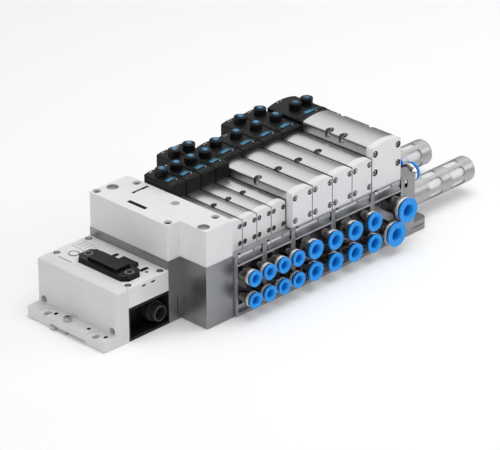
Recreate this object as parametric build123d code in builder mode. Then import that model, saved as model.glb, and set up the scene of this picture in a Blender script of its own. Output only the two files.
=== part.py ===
from build123d import *
from dataclasses import dataclass
from math import cos, radians, sin, sqrt
import os

# Pneumatic valve island: bus node, adapter block, a row of nine valves on sub-bases, end plates.
# X runs along the row, from the foot of the left end plate to the silencers.
# Y runs from the working ports at the front to the pilot heads at the back, and Z is up.
# The origin lies on the mounting plane, in the middle of the four mounting slots of the feet.

os.makedirs("parts", exist_ok=True)

# Depths of the blocks, from front to back
block_depth = 139.5
node_depth = 105.2
row_overhang = 2.4
port_recess_depth = 9.0

# Heights above the mounting plane
base_height = 61.7
adapter_body_rise = 1.6
adapter_cover_height = 36.2
node_height = 54.6
node_base_height = 33.9
right_plate_rise = 2.3
foot_height = 10.5

# Widths along the row
adapter_slim_width = 15.4
adapter_deep_width = 35.0
node_width = 50.1
left_plate_thickness = 15.4
right_plate_thickness = 16.6
left_foot_length = 15.9
right_foot_length = 20.4

# Mounting slots in the feet, and the channel for the mounting rail under all the blocks
slot_radius = 2.8
slot_travel = 3.0
slot_spacing_y = 65.8
slots_to_back = 56.5
left_slot_inset = 4.8
right_slot_inset = 9.8
rail_channel_setback = 25.8
rail_channel_width = 47.6
rail_channel_depth = 3.3

# Gaps
valve_gap = 1.0
seam = 0.2
cover_inset = 0.3
running_gap = 0.3
seat_gap = 0.2


@dataclass
class ValveSize:
    """One valve width: setbacks run to the back, heights start on the sub-base, drops hang from it."""

    name: str
    pitch: float
    width: float
    per_base: int
    cap_setback: float
    cap_thickness: float
    cap_lift: float
    cap_screw_inset: float
    cap_screw_heights: tuple
    cap_screw_radius: float
    body_length: float
    body_edge: float
    body_rise: float
    shoulder: float
    well_radius: float
    well_depth: float
    mounting_screws: tuple
    head_lengths: dict
    head_edge: float
    head_rise: float
    window_setback: float
    button_offsets: tuple
    button_sides: tuple
    port_drops: tuple
    port_offset: float


@dataclass
class Fitting:
    """One size of push-in fitting, named by its tube."""

    tube_diameter: float
    ring_diameter: float
    collar_diameter: float
    body_diameter: float
    length: float


narrow = ValveSize(
    name="narrow",
    pitch=19.0,
    width=18.0,
    per_base=2,
    cap_setback=10.0,
    cap_thickness=7.0,
    cap_lift=0.2,
    cap_screw_inset=2.8,
    cap_screw_heights=(5.7, 22.9),
    cap_screw_radius=2.2,
    body_length=66.4,
    body_edge=28.6,
    body_rise=1.7,
    shoulder=1.6,
    well_radius=3.1,
    well_depth=4.5,
    mounting_screws=((2.2, 33.0),),
    head_lengths={"single": 37.0, "double": 60.0},
    head_edge=44.6,
    head_rise=1.3,
    window_setback=10.5,
    button_offsets=((0.0, 23.0), (0.0, 45.0)),
    button_sides=("front", "rear"),
    port_drops=(41.5, 19.2),
    port_offset=0.0,
)
medium = ValveSize(
    name="medium",
    pitch=27.0,
    width=26.0,
    per_base=2,
    cap_setback=1.4,
    cap_thickness=8.0,
    cap_lift=1.5,
    cap_screw_inset=3.1,
    cap_screw_heights=(9.0, 32.1),
    cap_screw_radius=2.7,
    body_length=83.5,
    body_edge=37.0,
    body_rise=2.3,
    shoulder=2.4,
    well_radius=3.9,
    well_depth=6.0,
    mounting_screws=((2.9, 40.0),),
    head_lengths={"single": 36.0, "double": 57.0},
    head_edge=43.8,
    head_rise=1.8,
    window_setback=8.5,
    button_offsets=((0.0, 22.9), (0.0, 44.1)),
    button_sides=("front", "rear"),
    port_drops=(41.5, 18.7),
    port_offset=0.0,
)
wide = ValveSize(
    name="wide",
    pitch=43.0,
    width=39.5,
    per_base=1,
    cap_setback=0.9,
    cap_thickness=8.0,
    cap_lift=2.2,
    cap_screw_inset=3.9,
    cap_screw_heights=(21.3, 40.6),
    cap_screw_radius=3.1,
    body_length=84.0,
    body_edge=46.6,
    body_rise=3.0,
    shoulder=2.8,
    well_radius=4.3,
    well_depth=6.5,
    mounting_screws=((3.2, 33.0), (3.2, 51.0), (36.3, 30.0), (36.3, 67.0)),
    head_lengths={"double": 47.4},
    head_edge=46.6,
    head_rise=3.0,
    window_setback=7.5,
    button_offsets=((-6.7, 22.5), (9.3, 22.5)),
    button_sides=("left", "right"),
    port_drops=(40.4, 20.4),
    port_offset=7.85,
)
sizes = (narrow, medium, wide)

# The row from left to right, as valve size and its coils
valve_row = (
    (narrow, "single"),
    (narrow, "single"),
    (narrow, "double"),
    (narrow, "double"),
    (medium, "single"),
    (medium, "single"),
    (medium, "double"),
    (medium, "double"),
    (wide, "double"),
)

fittings = {
    "narrow": Fitting(8.0, 15.6, 15.2, 13.0, 22.7),
    "medium": Fitting(10.0, 18.9, 18.2, 15.4, 22.0),
    "wide": Fitting(12.0, 25.0, 24.0, 18.6, 25.5),
}

# Release rings and bores of the fittings
tube_clearance = 0.1
ring_travel = 1.3
ring_flange = 2.2
sleeve_wall = 1.2
sleeve_reach = 6.5
fitting_floor = 4.0
collar_length = 5.6

# Override buttons in the collars of the pilot heads
collar_diameter = 11.6
collar_height = 6.4
button_diameter = 8.0
button_travel = 1.5
button_guide = 5.0
button_proud = 1.8
button_edge = 0.8

# Label windows on the pilot heads
head_bevel = 2.0
window_length = 5.0
window_margin = 1.4
window_rise = 0.7

# Screws in the tops of the valves
cap_screw_depth = 2.2
screw_play = 1.1
valve_screw_height = 2.6

# Fronts of the sub-bases: label rails above and below the recess of the ports
post_width = 2.9
top_lip = 2.2
label_channel_height = 6.4
label_channel_depth = 4.0
lower_lip = 2.0
port_recess_height = 39.3
bottom_lip_share = 0.25
label_holder_overhang = 0.6
clip_width = 3.4
clip_height = 3.6
clip_inset = 3.4

# Widths of the blocks between the feet, and the distance of the mounting slots along the row
row_width = sum(size.pitch for size, coils in valve_row)
blocks_width = node_width + adapter_slim_width + adapter_deep_width + row_width
plates_width = left_plate_thickness + right_plate_thickness
feet_length = left_foot_length - left_slot_inset + right_foot_length - right_slot_inset
slot_spacing_x = blocks_width + plates_width + feet_length

# Faces that several pieces share
left_foot_x = -slot_spacing_x / 2 - left_slot_inset
left_plate_x = left_foot_x + left_foot_length
node_left_x = left_plate_x + left_plate_thickness
node_right_x = node_left_x + node_width
adapter_step_x = node_right_x + adapter_slim_width
row_start_x = adapter_step_x + adapter_deep_width
row_end_x = row_start_x + row_width
right_plate_x = row_end_x + right_plate_thickness
right_foot_x = right_plate_x + right_foot_length
back_y = slots_to_back
node_front_y = back_y - node_depth
adapter_front_y = back_y - block_depth
row_front_y = adapter_front_y - row_overhang
port_face_y = row_front_y + port_recess_depth
rail_channel_y = node_front_y + rail_channel_setback + rail_channel_width / 2
label_channel_top = base_height - top_lip
label_channel_bottom = label_channel_top - label_channel_height
port_recess_top = label_channel_bottom - lower_lip
port_recess_bottom = port_recess_top - port_recess_height
bottom_lip = port_recess_bottom * bottom_lip_share
adapter_body_height = base_height + adapter_body_rise
adapter_height = adapter_body_height + adapter_cover_height
right_plate_height = base_height + right_plate_rise


def front_plane(y):
    """Upright plane facing the front, with its own axes along X and Z."""
    return Plane(origin=(0, y, 0), x_dir=(1, 0, 0), z_dir=(0, -1, 0))


def right_plane(x):
    """Upright plane facing the right end, with its own axes along Y and Z."""
    return Plane(origin=(x, 0, 0), x_dir=(0, 1, 0), z_dir=(1, 0, 0))


def rail_channel(left, right):
    """Plan of the rail channel under one block."""
    with BuildSketch(Plane.XY) as channel:
        with Locations(((left + right) / 2, rail_channel_y)):
            Rectangle(right - left, rail_channel_width)
    return channel.sketch


def valve_places():
    """Each valve as size, left side of its body and its coils."""
    places = []
    x = row_start_x
    for size, coils in valve_row:
        places.append((size, x + valve_gap / 2, coils))
        x += size.pitch
    return places


def base_places():
    """Each sub-base as left side and width."""
    places = []
    x = row_start_x
    for size in sizes:
        valve_count = sum(1 for placed, coils in valve_row if placed is size)
        for number in range(valve_count // size.per_base):
            width = size.pitch * size.per_base
            places.append((x, width))
            x += width
    return places


def arc_drop(width, rise, offset):
    """How far an arch of this width and rise has dropped at a distance from its middle."""
    radius = (width**2 / 4 + rise**2) / (2 * rise)
    return radius - sqrt(radius**2 - offset**2)


def arched_face(y, left, width, bottom, edge, rise, corner):
    """Front view of a valve piece: straight sides, rounded shoulders, arched top."""
    right = left + width
    with BuildSketch(front_plane(y)) as face:
        with BuildLine():
            Polyline((left, edge), (left, bottom), (right, bottom), (right, edge))
            ThreePointArc((right, edge), (left + width / 2, edge + rise), (left, edge))
        make_face()
        fillet(face.vertices().group_by(Axis.Y)[-1], radius=corner)
    return face.sketch


def cap_front_y(size):
    return row_front_y + size.cap_setback


def body_front_y(size):
    return cap_front_y(size) + size.cap_thickness


def head_front_y(size):
    return body_front_y(size) + size.body_length


def head_top(size):
    return base_height + size.head_edge + size.head_rise


def button_points(size, left, coils):
    """Centres of the override buttons of one valve, seen from above."""
    middle = left + size.width / 2
    front = head_front_y(size)
    places = [(middle + offset, front + setback) for offset, setback in size.button_offsets]
    return places if coils == "double" else places[:1]


def port_points(size, left):
    """Centres of the lower and the upper working port of one valve, on the port face."""
    middle = left - valve_gap / 2 + size.pitch / 2
    lower, upper = [base_height - drop for drop in size.port_drops]
    return [(middle - size.port_offset, lower), (middle + size.port_offset, upper)]


def bore_radius(fitting):
    return fitting.tube_diameter / 2 + tube_clearance


valves = valve_places()
bases = base_places()

# Left end plate: upright wall with a foot, and a channel for the mounting rail underneath
wall_corner = 3.5
wall_top_edge = 2.0
foot_corner = 3.0
spot_face_radius = 9.5
spot_face_depth = 0.8
pin_hole_radius = 2.0
pin_hole_inset = 9.3
pin_hole_offsets = (-8.0, 15.0, 58.8)
clamp_screw_inset = 7.2
clamp_screw_y = 7.9
clamp_shank_radius = 2.5
clamp_head_radius = 4.2
clamp_head_height = 3.0
tie_recess_radius = 3.6
tie_recess_depth = 5.0
tie_recess_height = 14.2
tie_recess_margin = 6.5

front_slot_y = -slot_spacing_y / 2
back_slot_y = slot_spacing_y / 2
left_slots = ((-slot_spacing_x / 2, front_slot_y), (-slot_spacing_x / 2, back_slot_y))
right_slots = ((slot_spacing_x / 2, front_slot_y), (slot_spacing_x / 2, back_slot_y))
clamp_screw_x = left_foot_x + clamp_screw_inset

with BuildPart() as left_end_plate:
    with BuildSketch(front_plane(node_front_y)) as plate_section:
        with BuildLine():
            Polyline(
                (node_left_x - seam, 0),
                (left_foot_x, 0),
                (left_foot_x, foot_height),
                (left_plate_x, foot_height),
                (left_plate_x, node_height),
                (node_left_x - seam, node_height),
                close=True,
            )
        make_face()
        fillet(plate_section.vertices().sort_by_distance((left_plate_x, node_height))[0], wall_top_edge)
    extrude(amount=-node_depth)
    uprights = left_end_plate.edges().filter_by(Axis.Z)
    fillet(uprights.sort_by_distance((left_plate_x, node_front_y, node_height))[0], wall_corner)
    foot_corners = left_end_plate.edges().filter_by(Axis.Z).group_by(Axis.X)[0]
    fillet(foot_corners, foot_corner)
    extrude(rail_channel(left_foot_x, node_left_x), amount=rail_channel_depth, mode=Mode.SUBTRACT)
    with BuildSketch(Plane.XY.offset(foot_height)):
        with Locations(*left_slots):
            Circle(spot_face_radius)
        with Locations((left_plate_x + spot_face_radius, (node_front_y + back_y) / 2)):
            Rectangle(2 * spot_face_radius, node_depth, mode=Mode.SUBTRACT)
    extrude(amount=-spot_face_depth, mode=Mode.SUBTRACT)
    with BuildSketch(Plane.XY.offset(foot_height)):
        with Locations(*left_slots):
            SlotCenterToCenter(slot_travel, 2 * slot_radius)
        with Locations(*[(left_foot_x + pin_hole_inset, front_slot_y + y) for y in pin_hole_offsets]):
            Circle(pin_hole_radius)
        with Locations((clamp_screw_x, clamp_screw_y)):
            Circle(clamp_shank_radius + seat_gap)
    extrude(amount=-foot_height, mode=Mode.SUBTRACT)
    tie_ys = (node_front_y + tie_recess_margin, back_y - tie_recess_margin)
    with BuildSketch(right_plane(left_plate_x)):
        with Locations(*[(y, tie_recess_height) for y in tie_ys]):
            Circle(tie_recess_radius)
    extrude(amount=tie_recess_depth, mode=Mode.SUBTRACT)

left_end_plate.part.label = "left_end_plate"
export_step(left_end_plate.part, "parts/left_end_plate.step")

# Rail clamp: the block under the foot that its screw draws up against the rail's edge
clamp_length = 13.0
clamp_breadth = 20.0
clamp_offset = 4.8
clamp_lug_length = 2.0
clamp_lug_breadth = 6.0
clamp_lug_offset = 11.5

with BuildPart() as rail_clamp:
    with BuildSketch(Plane.XY.offset(seat_gap)):
        with Locations((left_foot_x + clamp_length / 2, clamp_screw_y + clamp_offset)):
            Rectangle(clamp_length, clamp_breadth)
        with Locations((left_foot_x, clamp_screw_y + clamp_lug_offset)):
            Rectangle(2 * clamp_lug_length, clamp_lug_breadth)
        with Locations((clamp_screw_x, clamp_screw_y)):
            Circle(clamp_shank_radius + seat_gap, mode=Mode.SUBTRACT)
    extrude(amount=rail_channel_depth - 2 * seat_gap)

rail_clamp.part.label = "rail_clamp"
export_step(rail_clamp.part, "parts/rail_clamp.step")

# Base of the bus node: its front is open beside the power plug, up to the adapter block
plug_recess_depth = 17.0
plug_recess_wall = 1.6
plug_recess_bottom = 3.0
plug_recess_top = 31.0
plug_radius = 8.2
plug_height = 13.8
plug_offset = 10.6
plug_edge = 0.8
nut_radius = 10.2
nut_length = 9.0
socket_radius = 6.2
socket_depth = 10.0
pin_radius = 0.8
pin_length = 5.0
pin_circle_radius = 3.2
pin_count = 4

node_middle_x = (node_left_x + node_right_x) / 2
node_middle_y = (node_front_y + back_y) / 2
plug_x = node_right_x - plug_offset
plug_back_y = node_front_y + plug_recess_depth
recess_left_x = node_left_x + plug_recess_wall

with BuildPart() as node_base:
    with BuildSketch(front_plane(node_front_y)):
        with Locations((node_middle_x, node_base_height / 2)):
            Rectangle(node_width, node_base_height)
    extrude(amount=-node_depth)
    with BuildSketch(front_plane(node_front_y)):
        with Locations(((recess_left_x + node_right_x) / 2, (plug_recess_bottom + plug_recess_top) / 2)):
            Rectangle(node_right_x - recess_left_x, plug_recess_top - plug_recess_bottom)
    extrude(amount=-plug_recess_depth, mode=Mode.SUBTRACT)
    extrude(rail_channel(node_left_x, node_right_x), amount=rail_channel_depth, mode=Mode.SUBTRACT)

node_base.part.label = "node_base"
export_step(node_base.part, "parts/node_base.step")

with BuildPart() as power_connector:
    with BuildSketch(front_plane(plug_back_y)):
        with Locations((plug_x, plug_height)):
            Circle(plug_radius)
    extrude(amount=plug_recess_depth - seat_gap)
    rim = power_connector.edges().filter_by(GeomType.CIRCLE).group_by(Axis.Y)[0]
    chamfer(rim, length=plug_edge)
    with BuildSketch(front_plane(plug_back_y)):
        with Locations((plug_x, plug_height)):
            Circle(nut_radius)
    extrude(amount=nut_length)
    with BuildSketch(front_plane(node_front_y + seat_gap)):
        with Locations((plug_x, plug_height)):
            Circle(socket_radius)
    extrude(amount=-socket_depth, mode=Mode.SUBTRACT)
    with BuildSketch(front_plane(node_front_y + seat_gap + socket_depth)):
        with Locations((plug_x, plug_height)):
            with PolarLocations(pin_circle_radius, pin_count, start_angle=45):
                Circle(pin_radius)
    extrude(amount=pin_length)

power_connector.part.label = "power_connector"
export_step(power_connector.part, "parts/power_connector.step")

# Housing of the bus node
housing_edge = 1.2
left_screw_inset = 4.1
right_screw_inset = 6.0
housing_screw_margin = 4.8
housing_recess_radius = 3.3
housing_recess_depth = 1.8
light_window_width = 10.0
light_window_length = 4.0
light_window_depth = 1.0
light_window_inset = 14.2
light_window_setbacks = (17.3, 57.1)
lens_radius = 1.8
lens_depth = 3.0
lens_inset = 15.9
lens_setback = 12.0
disc_radius = 5.0
disc_rise = 0.5
disc_inset = 13.1
disc_setback = 86.9
front_slot_width = 4.6
front_slot_height = 1.3
front_slot_depth = 1.2
front_slot_drop = 4.1
front_slot_insets = (19.2, 30.8)

node_corners = [
    (x, y)
    for x in (node_left_x + left_screw_inset, node_right_x - right_screw_inset)
    for y in (node_front_y + housing_screw_margin, back_y - housing_screw_margin)
]

with BuildPart() as node_housing:
    with BuildSketch(Plane.XY.offset(node_base_height)):
        with Locations((node_middle_x, node_middle_y)):
            Rectangle(node_width, node_depth)
    extrude(amount=node_height - node_base_height)
    fillet(node_housing.faces().sort_by(Axis.Z)[-1].edges().sort_by(Axis.Y)[0], housing_edge)
    with BuildSketch(Plane.XY.offset(node_height)):
        with Locations(*node_corners):
            Circle(housing_recess_radius)
    extrude(amount=-housing_recess_depth, mode=Mode.SUBTRACT)
    with BuildSketch(Plane.XY.offset(node_height)):
        window_x = node_right_x - light_window_inset
        with Locations(*[(window_x, node_front_y + y) for y in light_window_setbacks]):
            Rectangle(light_window_width, light_window_length)
    extrude(amount=-light_window_depth, mode=Mode.SUBTRACT)
    with BuildSketch(Plane.XY.offset(node_height)):
        with Locations((node_right_x - lens_inset, node_front_y + lens_setback)):
            Circle(lens_radius)
    extrude(amount=-lens_depth, mode=Mode.SUBTRACT)
    with BuildSketch(Plane.XY.offset(node_height)):
        with Locations((node_left_x + disc_inset, node_front_y + disc_setback)):
            Circle(disc_radius)
    extrude(amount=disc_rise)
    with BuildSketch(front_plane(node_front_y)):
        with Locations(*[(node_right_x - x, node_height - front_slot_drop) for x in front_slot_insets]):
            Rectangle(front_slot_width, front_slot_height)
    extrude(amount=-front_slot_depth, mode=Mode.SUBTRACT)

node_housing.part.label = "node_housing"
export_step(node_housing.part, "parts/node_housing.step")

# Switch cover on the node: low moulding with cut corners, a raised middle and a side tab
cover_width = 24.3
cover_length = 68.0
cover_inset_x = 4.2
cover_margin_y = 9.0
cover_height = 5.0
cover_corner = 5.5
cover_taper = 8
crown_inset = 2.6
crown_end = 14.0
crown_rise = 2.6
crown_taper = 20
crown_corner = 2.0
tab_width = 8.5
tab_length = 19.5
tab_margin = 16.3
tab_height = 3.8
lug_radius = 2.7
lug_rise = 1.0
lug_margin = 6.5

cover_x = node_left_x + cover_inset_x + cover_width / 2
cover_y = node_front_y + cover_margin_y + cover_length / 2

with BuildPart() as switch_cover:
    with BuildSketch(Plane.XY.offset(node_height)) as cover_plan:
        with Locations((cover_x, cover_y)):
            Rectangle(cover_width, cover_length)
        chamfer(cover_plan.vertices(), length=cover_corner)
    extrude(amount=cover_height, taper=cover_taper)
    with BuildSketch(Plane.XY.offset(node_height + cover_height)):
        with Locations((cover_x, cover_y)):
            RectangleRounded(cover_width - 2 * crown_inset, cover_length - 2 * crown_end, crown_corner)
    extrude(amount=crown_rise, taper=crown_taper)
    with BuildSketch(Plane.XY.offset(node_height)):
        with Locations((cover_x + cover_width / 2, cover_y - cover_length / 2 + tab_margin + tab_length / 2)):
            Rectangle(2 * tab_width, tab_length)
    extrude(amount=tab_height)
    with BuildSketch(Plane.XY.offset(node_height + cover_height)):
        lug_offset = cover_length / 2 - lug_margin
        with Locations((cover_x, cover_y - lug_offset), (cover_x, cover_y + lug_offset)):
            Circle(lug_radius)
    extrude(amount=lug_rise)

switch_cover.part.label = "switch_cover"
export_step(switch_cover.part, "parts/switch_cover.step")

# Adapter block, L-shaped in plan, with its cover
adapter_edge = 0.6
step_slot_width = 1.5
step_slot_height = 17.0
step_slot_z = 15.5
step_slot_inset = 11.0
edge_slot_width = 1.2
edge_slot_height = 6.0
edge_slot_z = 31.5
edge_slot_inset = 1.8
slot_depth = 1.5
cover_edge = 0.8
cover_recess_radius = 4.0
cover_recess_depth = 3.2
plain_recess_radius = 5.8
plain_recess_depth = 3.0
test_disc_radius = 4.3
test_disc_depth = 0.4
long_slot_width = 3.0
long_slot_length = 23.0
cross_slot_width = 20.5
cross_slot_length = 3.2
top_slot_depth = 3.0
top_slot_corner = 1.2

# Places on the adapter cover: distance along the row, then along the depth, from the nearest edges
slim_back_screw = (6.2, 4.6)
deep_back_screw = (6.5, 18.8)
slim_front_screw = (5.9, 5.4)
deep_front_screw = (6.6, 16.6)
back_recess = (6.8, 8.9)
front_recess = (6.4, 9.4)
test_disc_place = (22.9, 63.5)
long_slot_place = (3.5, 53.2)
cross_slot_place = (20.7, 31.6)

cover_screws = (
    (node_right_x + slim_back_screw[0], back_y - slim_back_screw[1]),
    (row_start_x - deep_back_screw[0], back_y - deep_back_screw[1]),
    (node_right_x + slim_front_screw[0], node_front_y + slim_front_screw[1]),
    (row_start_x - deep_front_screw[0], adapter_front_y + deep_front_screw[1]),
)
plain_recesses = (
    (adapter_step_x + back_recess[0], back_y - back_recess[1]),
    (adapter_step_x + front_recess[0], adapter_front_y + front_recess[1]),
)
test_disc = (adapter_step_x + test_disc_place[0], adapter_front_y + test_disc_place[1])
long_slot = (adapter_step_x - long_slot_place[0], back_y - long_slot_place[1])
cross_slot = (adapter_step_x + cross_slot_place[0], back_y - cross_slot_place[1])


def adapter_plan(z, inset):
    """Plan of the adapter: its slim left part is as deep as the node, its right part is deeper."""
    with BuildSketch(Plane.XY.offset(z)) as plan:
        with BuildLine():
            Polyline(
                (node_right_x + inset + seam, node_front_y + inset),
                (adapter_step_x + inset, node_front_y + inset),
                (adapter_step_x + inset, adapter_front_y + inset),
                (row_start_x - inset - seam, adapter_front_y + inset),
                (row_start_x - inset - seam, back_y - inset),
                (node_right_x + inset + seam, back_y - inset),
                close=True,
            )
        make_face()
    return plan.sketch


adapter_body_plan = adapter_plan(0, 0)
adapter_cover_plan = adapter_plan(adapter_body_height, cover_inset)

with BuildPart() as adapter_body:
    extrude(adapter_body_plan, amount=adapter_body_height)
    front_corners = adapter_body.edges().filter_by(Axis.Z).group_by(Axis.Y)[0]
    chamfer(front_corners, length=adapter_edge)
    with BuildSketch(front_plane(node_front_y)):
        with Locations((node_right_x + step_slot_inset, step_slot_z)):
            Rectangle(step_slot_width, step_slot_height)
    extrude(amount=-slot_depth, mode=Mode.SUBTRACT)
    with BuildSketch(front_plane(adapter_front_y)):
        with Locations((row_start_x - edge_slot_inset, edge_slot_z)):
            Rectangle(edge_slot_width, edge_slot_height)
    extrude(amount=-slot_depth, mode=Mode.SUBTRACT)
    extrude(rail_channel(node_right_x, row_start_x), amount=rail_channel_depth, mode=Mode.SUBTRACT)

adapter_body.part.label = "adapter_body"
export_step(adapter_body.part, "parts/adapter_body.step")

with BuildPart() as adapter_cover:
    extrude(adapter_cover_plan, amount=adapter_height - adapter_body_height)
    fillet(adapter_cover.edges().filter_by(Axis.Z), cover_edge)
    fillet(adapter_cover.faces().sort_by(Axis.Z)[-1].edges(), cover_edge / 2)
    with BuildSketch(Plane.XY.offset(adapter_height)):
        with Locations(*cover_screws):
            Circle(cover_recess_radius)
    extrude(amount=-cover_recess_depth, mode=Mode.SUBTRACT)
    with BuildSketch(Plane.XY.offset(adapter_height)):
        with Locations(*plain_recesses):
            Circle(plain_recess_radius)
    extrude(amount=-plain_recess_depth, mode=Mode.SUBTRACT)
    with BuildSketch(Plane.XY.offset(adapter_height)):
        with Locations(test_disc):
            Circle(test_disc_radius)
    extrude(amount=-test_disc_depth, mode=Mode.SUBTRACT)
    with BuildSketch(Plane.XY.offset(adapter_height)):
        with Locations(long_slot):
            RectangleRounded(long_slot_width, long_slot_length, top_slot_corner)
        with Locations(cross_slot):
            RectangleRounded(cross_slot_width, cross_slot_length, top_slot_corner)
    extrude(amount=-top_slot_depth, mode=Mode.SUBTRACT)

adapter_cover.part.label = "adapter_cover"
export_step(adapter_cover.part, "parts/adapter_cover.step")


def sub_base(left, width):
    """Manifold block of one or two valves: end posts with the ports and label rails between them."""
    middle = left + width / 2
    with BuildPart() as block:
        with BuildSketch(front_plane(row_front_y)):
            with Locations((middle, base_height / 2)):
                Rectangle(width - seam, base_height)
        extrude(amount=row_front_y - back_y)
        with BuildSketch(front_plane(row_front_y)):
            with Locations((middle, (port_recess_bottom + port_recess_top) / 2)):
                Rectangle(width - 2 * post_width, port_recess_top - port_recess_bottom)
        extrude(amount=-port_recess_depth, mode=Mode.SUBTRACT)
        with BuildSketch(front_plane(row_front_y)):
            channel_middle = (label_channel_bottom + label_channel_top) / 2
            with Locations((middle, channel_middle)):
                Rectangle(width - 2 * post_width, label_channel_height)
            with Locations((middle, port_recess_bottom / 2)):
                Rectangle(width - 2 * post_width, port_recess_bottom - 2 * bottom_lip)
        extrude(amount=-label_channel_depth, mode=Mode.SUBTRACT)
        extrude(rail_channel(left, left + width), amount=rail_channel_depth, mode=Mode.SUBTRACT)
    return block.part


def label_holder(left, width):
    """Strip that snaps into the upper label rail, with its clip at the left end."""
    start = left + post_width + seam
    length = width - 2 * post_width - 2 * seam
    with BuildPart() as holder:
        with BuildSketch(front_plane(row_front_y + label_channel_depth)):
            with Locations((start + length / 2, (label_channel_bottom + label_channel_top) / 2)):
                Rectangle(length, label_channel_height - 2 * seam)
        extrude(amount=label_channel_depth - label_holder_overhang)
        with BuildSketch(front_plane(row_front_y + label_channel_depth)):
            with Locations((start + clip_inset - clip_width / 2, label_channel_top - seam - clip_height / 2)):
                Rectangle(clip_width, clip_height)
        extrude(amount=label_channel_depth + label_holder_overhang)
    return holder.part


base_blocks = [sub_base(left, width) for left, width in bases]
holders = [label_holder(left, width) for left, width in bases]

with BuildPart() as sub_bases:
    add(base_blocks)

sub_bases.part.label = "sub_bases"
export_step(sub_bases.part, "parts/sub_bases.step")

with BuildPart() as label_holders:
    add(holders)

label_holders.part.label = "label_holders"
export_step(label_holders.part, "parts/label_holders.step")

# Right end plate: supply and exhaust connections at its side, a foot below
right_foot_corner = 8.0
foot_groove_z = 5.6
foot_groove_height = 2.2
foot_groove_depth = 1.5
notch_width = 4.0
notch_height = 8.0
notch_depth = 4.0
notch_inset = 2.4
notch_drop = 3.0

with BuildPart() as right_end_plate:
    with BuildSketch(front_plane(row_front_y)):
        with BuildLine():
            Polyline(
                (row_end_x + seam, 0),
                (right_foot_x, 0),
                (right_foot_x, foot_height),
                (right_plate_x, foot_height),
                (right_plate_x, right_plate_height),
                (row_end_x + seam, right_plate_height),
                close=True,
            )
        make_face()
    extrude(amount=row_front_y - back_y)
    foot_corners = right_end_plate.edges().filter_by(Axis.Z).group_by(Axis.X)[-1]
    fillet(foot_corners, right_foot_corner)
    with BuildSketch(front_plane(row_front_y)):
        with Locations((right_foot_x, foot_groove_z)):
            Rectangle(2 * (right_foot_length + notch_inset), foot_groove_height)
    extrude(amount=-foot_groove_depth, mode=Mode.SUBTRACT)
    with BuildSketch(front_plane(row_front_y)):
        notch_z = right_plate_height - notch_drop - notch_height / 2
        with Locations((row_end_x + notch_inset + notch_width / 2, notch_z)):
            Rectangle(notch_width, notch_height)
    extrude(amount=-notch_depth, mode=Mode.SUBTRACT)
    with BuildSketch(Plane.XY.offset(foot_height)):
        with Locations(*right_slots):
            SlotCenterToCenter(slot_travel, 2 * slot_radius)
    extrude(amount=-foot_height, mode=Mode.SUBTRACT)
    extrude(rail_channel(row_end_x, right_foot_x), amount=rail_channel_depth, mode=Mode.SUBTRACT)

right_end_plate.part.label = "right_end_plate"
export_step(right_end_plate.part, "parts/right_end_plate.step")

# Exhaust silencers: slotted metal sleeves over porous cores
silencer_radius = 13.2
silencer_wall = 1.5
silencer_length = 107.7
silencer_end_wall = 3.0
silencer_end_edge = 4.0
silencer_z = 24.3
silencer_setbacks = (27.9, 84.9)
slot_length = 19.8
slot_width = 9.6
slot_corner = 4.0
slot_stations = (48.9, 81.7)
slots_around = 6
first_slot_angle = 29.0
silencer_ys = [row_front_y + setback for setback in silencer_setbacks]


def silencer_shell(y):
    """Sleeve of one silencer, closed at its end, with its slots."""
    with BuildPart() as shell:
        with BuildSketch(right_plane(right_plate_x)):
            with Locations((y, silencer_z)):
                Circle(silencer_radius)
        extrude(amount=silencer_length)
        fillet(shell.edges().group_by(Axis.X)[-1], silencer_end_edge)
        with BuildSketch(right_plane(right_plate_x)):
            with Locations((y, silencer_z)):
                Circle(silencer_radius - silencer_wall)
        extrude(amount=silencer_length - silencer_end_wall, mode=Mode.SUBTRACT)
        for number in range(slots_around):
            angle = radians(first_slot_angle + number * 360 / slots_around)
            facing = Plane(
                origin=(right_plate_x, y, silencer_z),
                x_dir=(1, 0, 0),
                z_dir=(0, cos(angle), sin(angle)),
            )
            with BuildSketch(facing):
                with Locations(*[(station, 0) for station in slot_stations]):
                    RectangleRounded(slot_length, slot_width, slot_corner)
            extrude(amount=silencer_radius, mode=Mode.SUBTRACT)
    return shell.part


shells = [silencer_shell(y) for y in silencer_ys]

with BuildPart() as silencer_shells:
    add(shells)

silencer_shells.part.label = "silencer_shells"
export_step(silencer_shells.part, "parts/silencer_shells.step")

with BuildPart() as silencer_cores:
    with BuildSketch(right_plane(right_plate_x)):
        with Locations(*[(y, silencer_z) for y in silencer_ys]):
            Circle(silencer_radius - silencer_wall - seat_gap)
    extrude(amount=silencer_length - silencer_end_wall - seat_gap)

silencer_cores.part.label = "silencer_cores"
export_step(silencer_cores.part, "parts/silencer_cores.step")


def end_cap(size, left):
    """Front cap of one valve, with the recesses of its four screws."""
    bottom = base_height + size.cap_lift
    edge = base_height + size.body_edge
    front = cap_front_y(size)
    outline = arched_face(front, left, size.width, bottom, edge, size.body_rise, size.shoulder)
    columns = (left + size.cap_screw_inset, left + size.width - size.cap_screw_inset)
    with BuildPart() as cap:
        extrude(outline, amount=-size.cap_thickness)
        with BuildSketch(front_plane(front)):
            with Locations(*[(x, base_height + z) for x in columns for z in size.cap_screw_heights]):
                Circle(size.cap_screw_radius)
        extrude(amount=-cap_screw_depth, mode=Mode.SUBTRACT)
    return cap.part


def well_points(size, left):
    """Places of the mounting screws in the top of one valve body."""
    return [(left + inset, body_front_y(size) + setback) for inset, setback in size.mounting_screws]


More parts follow.
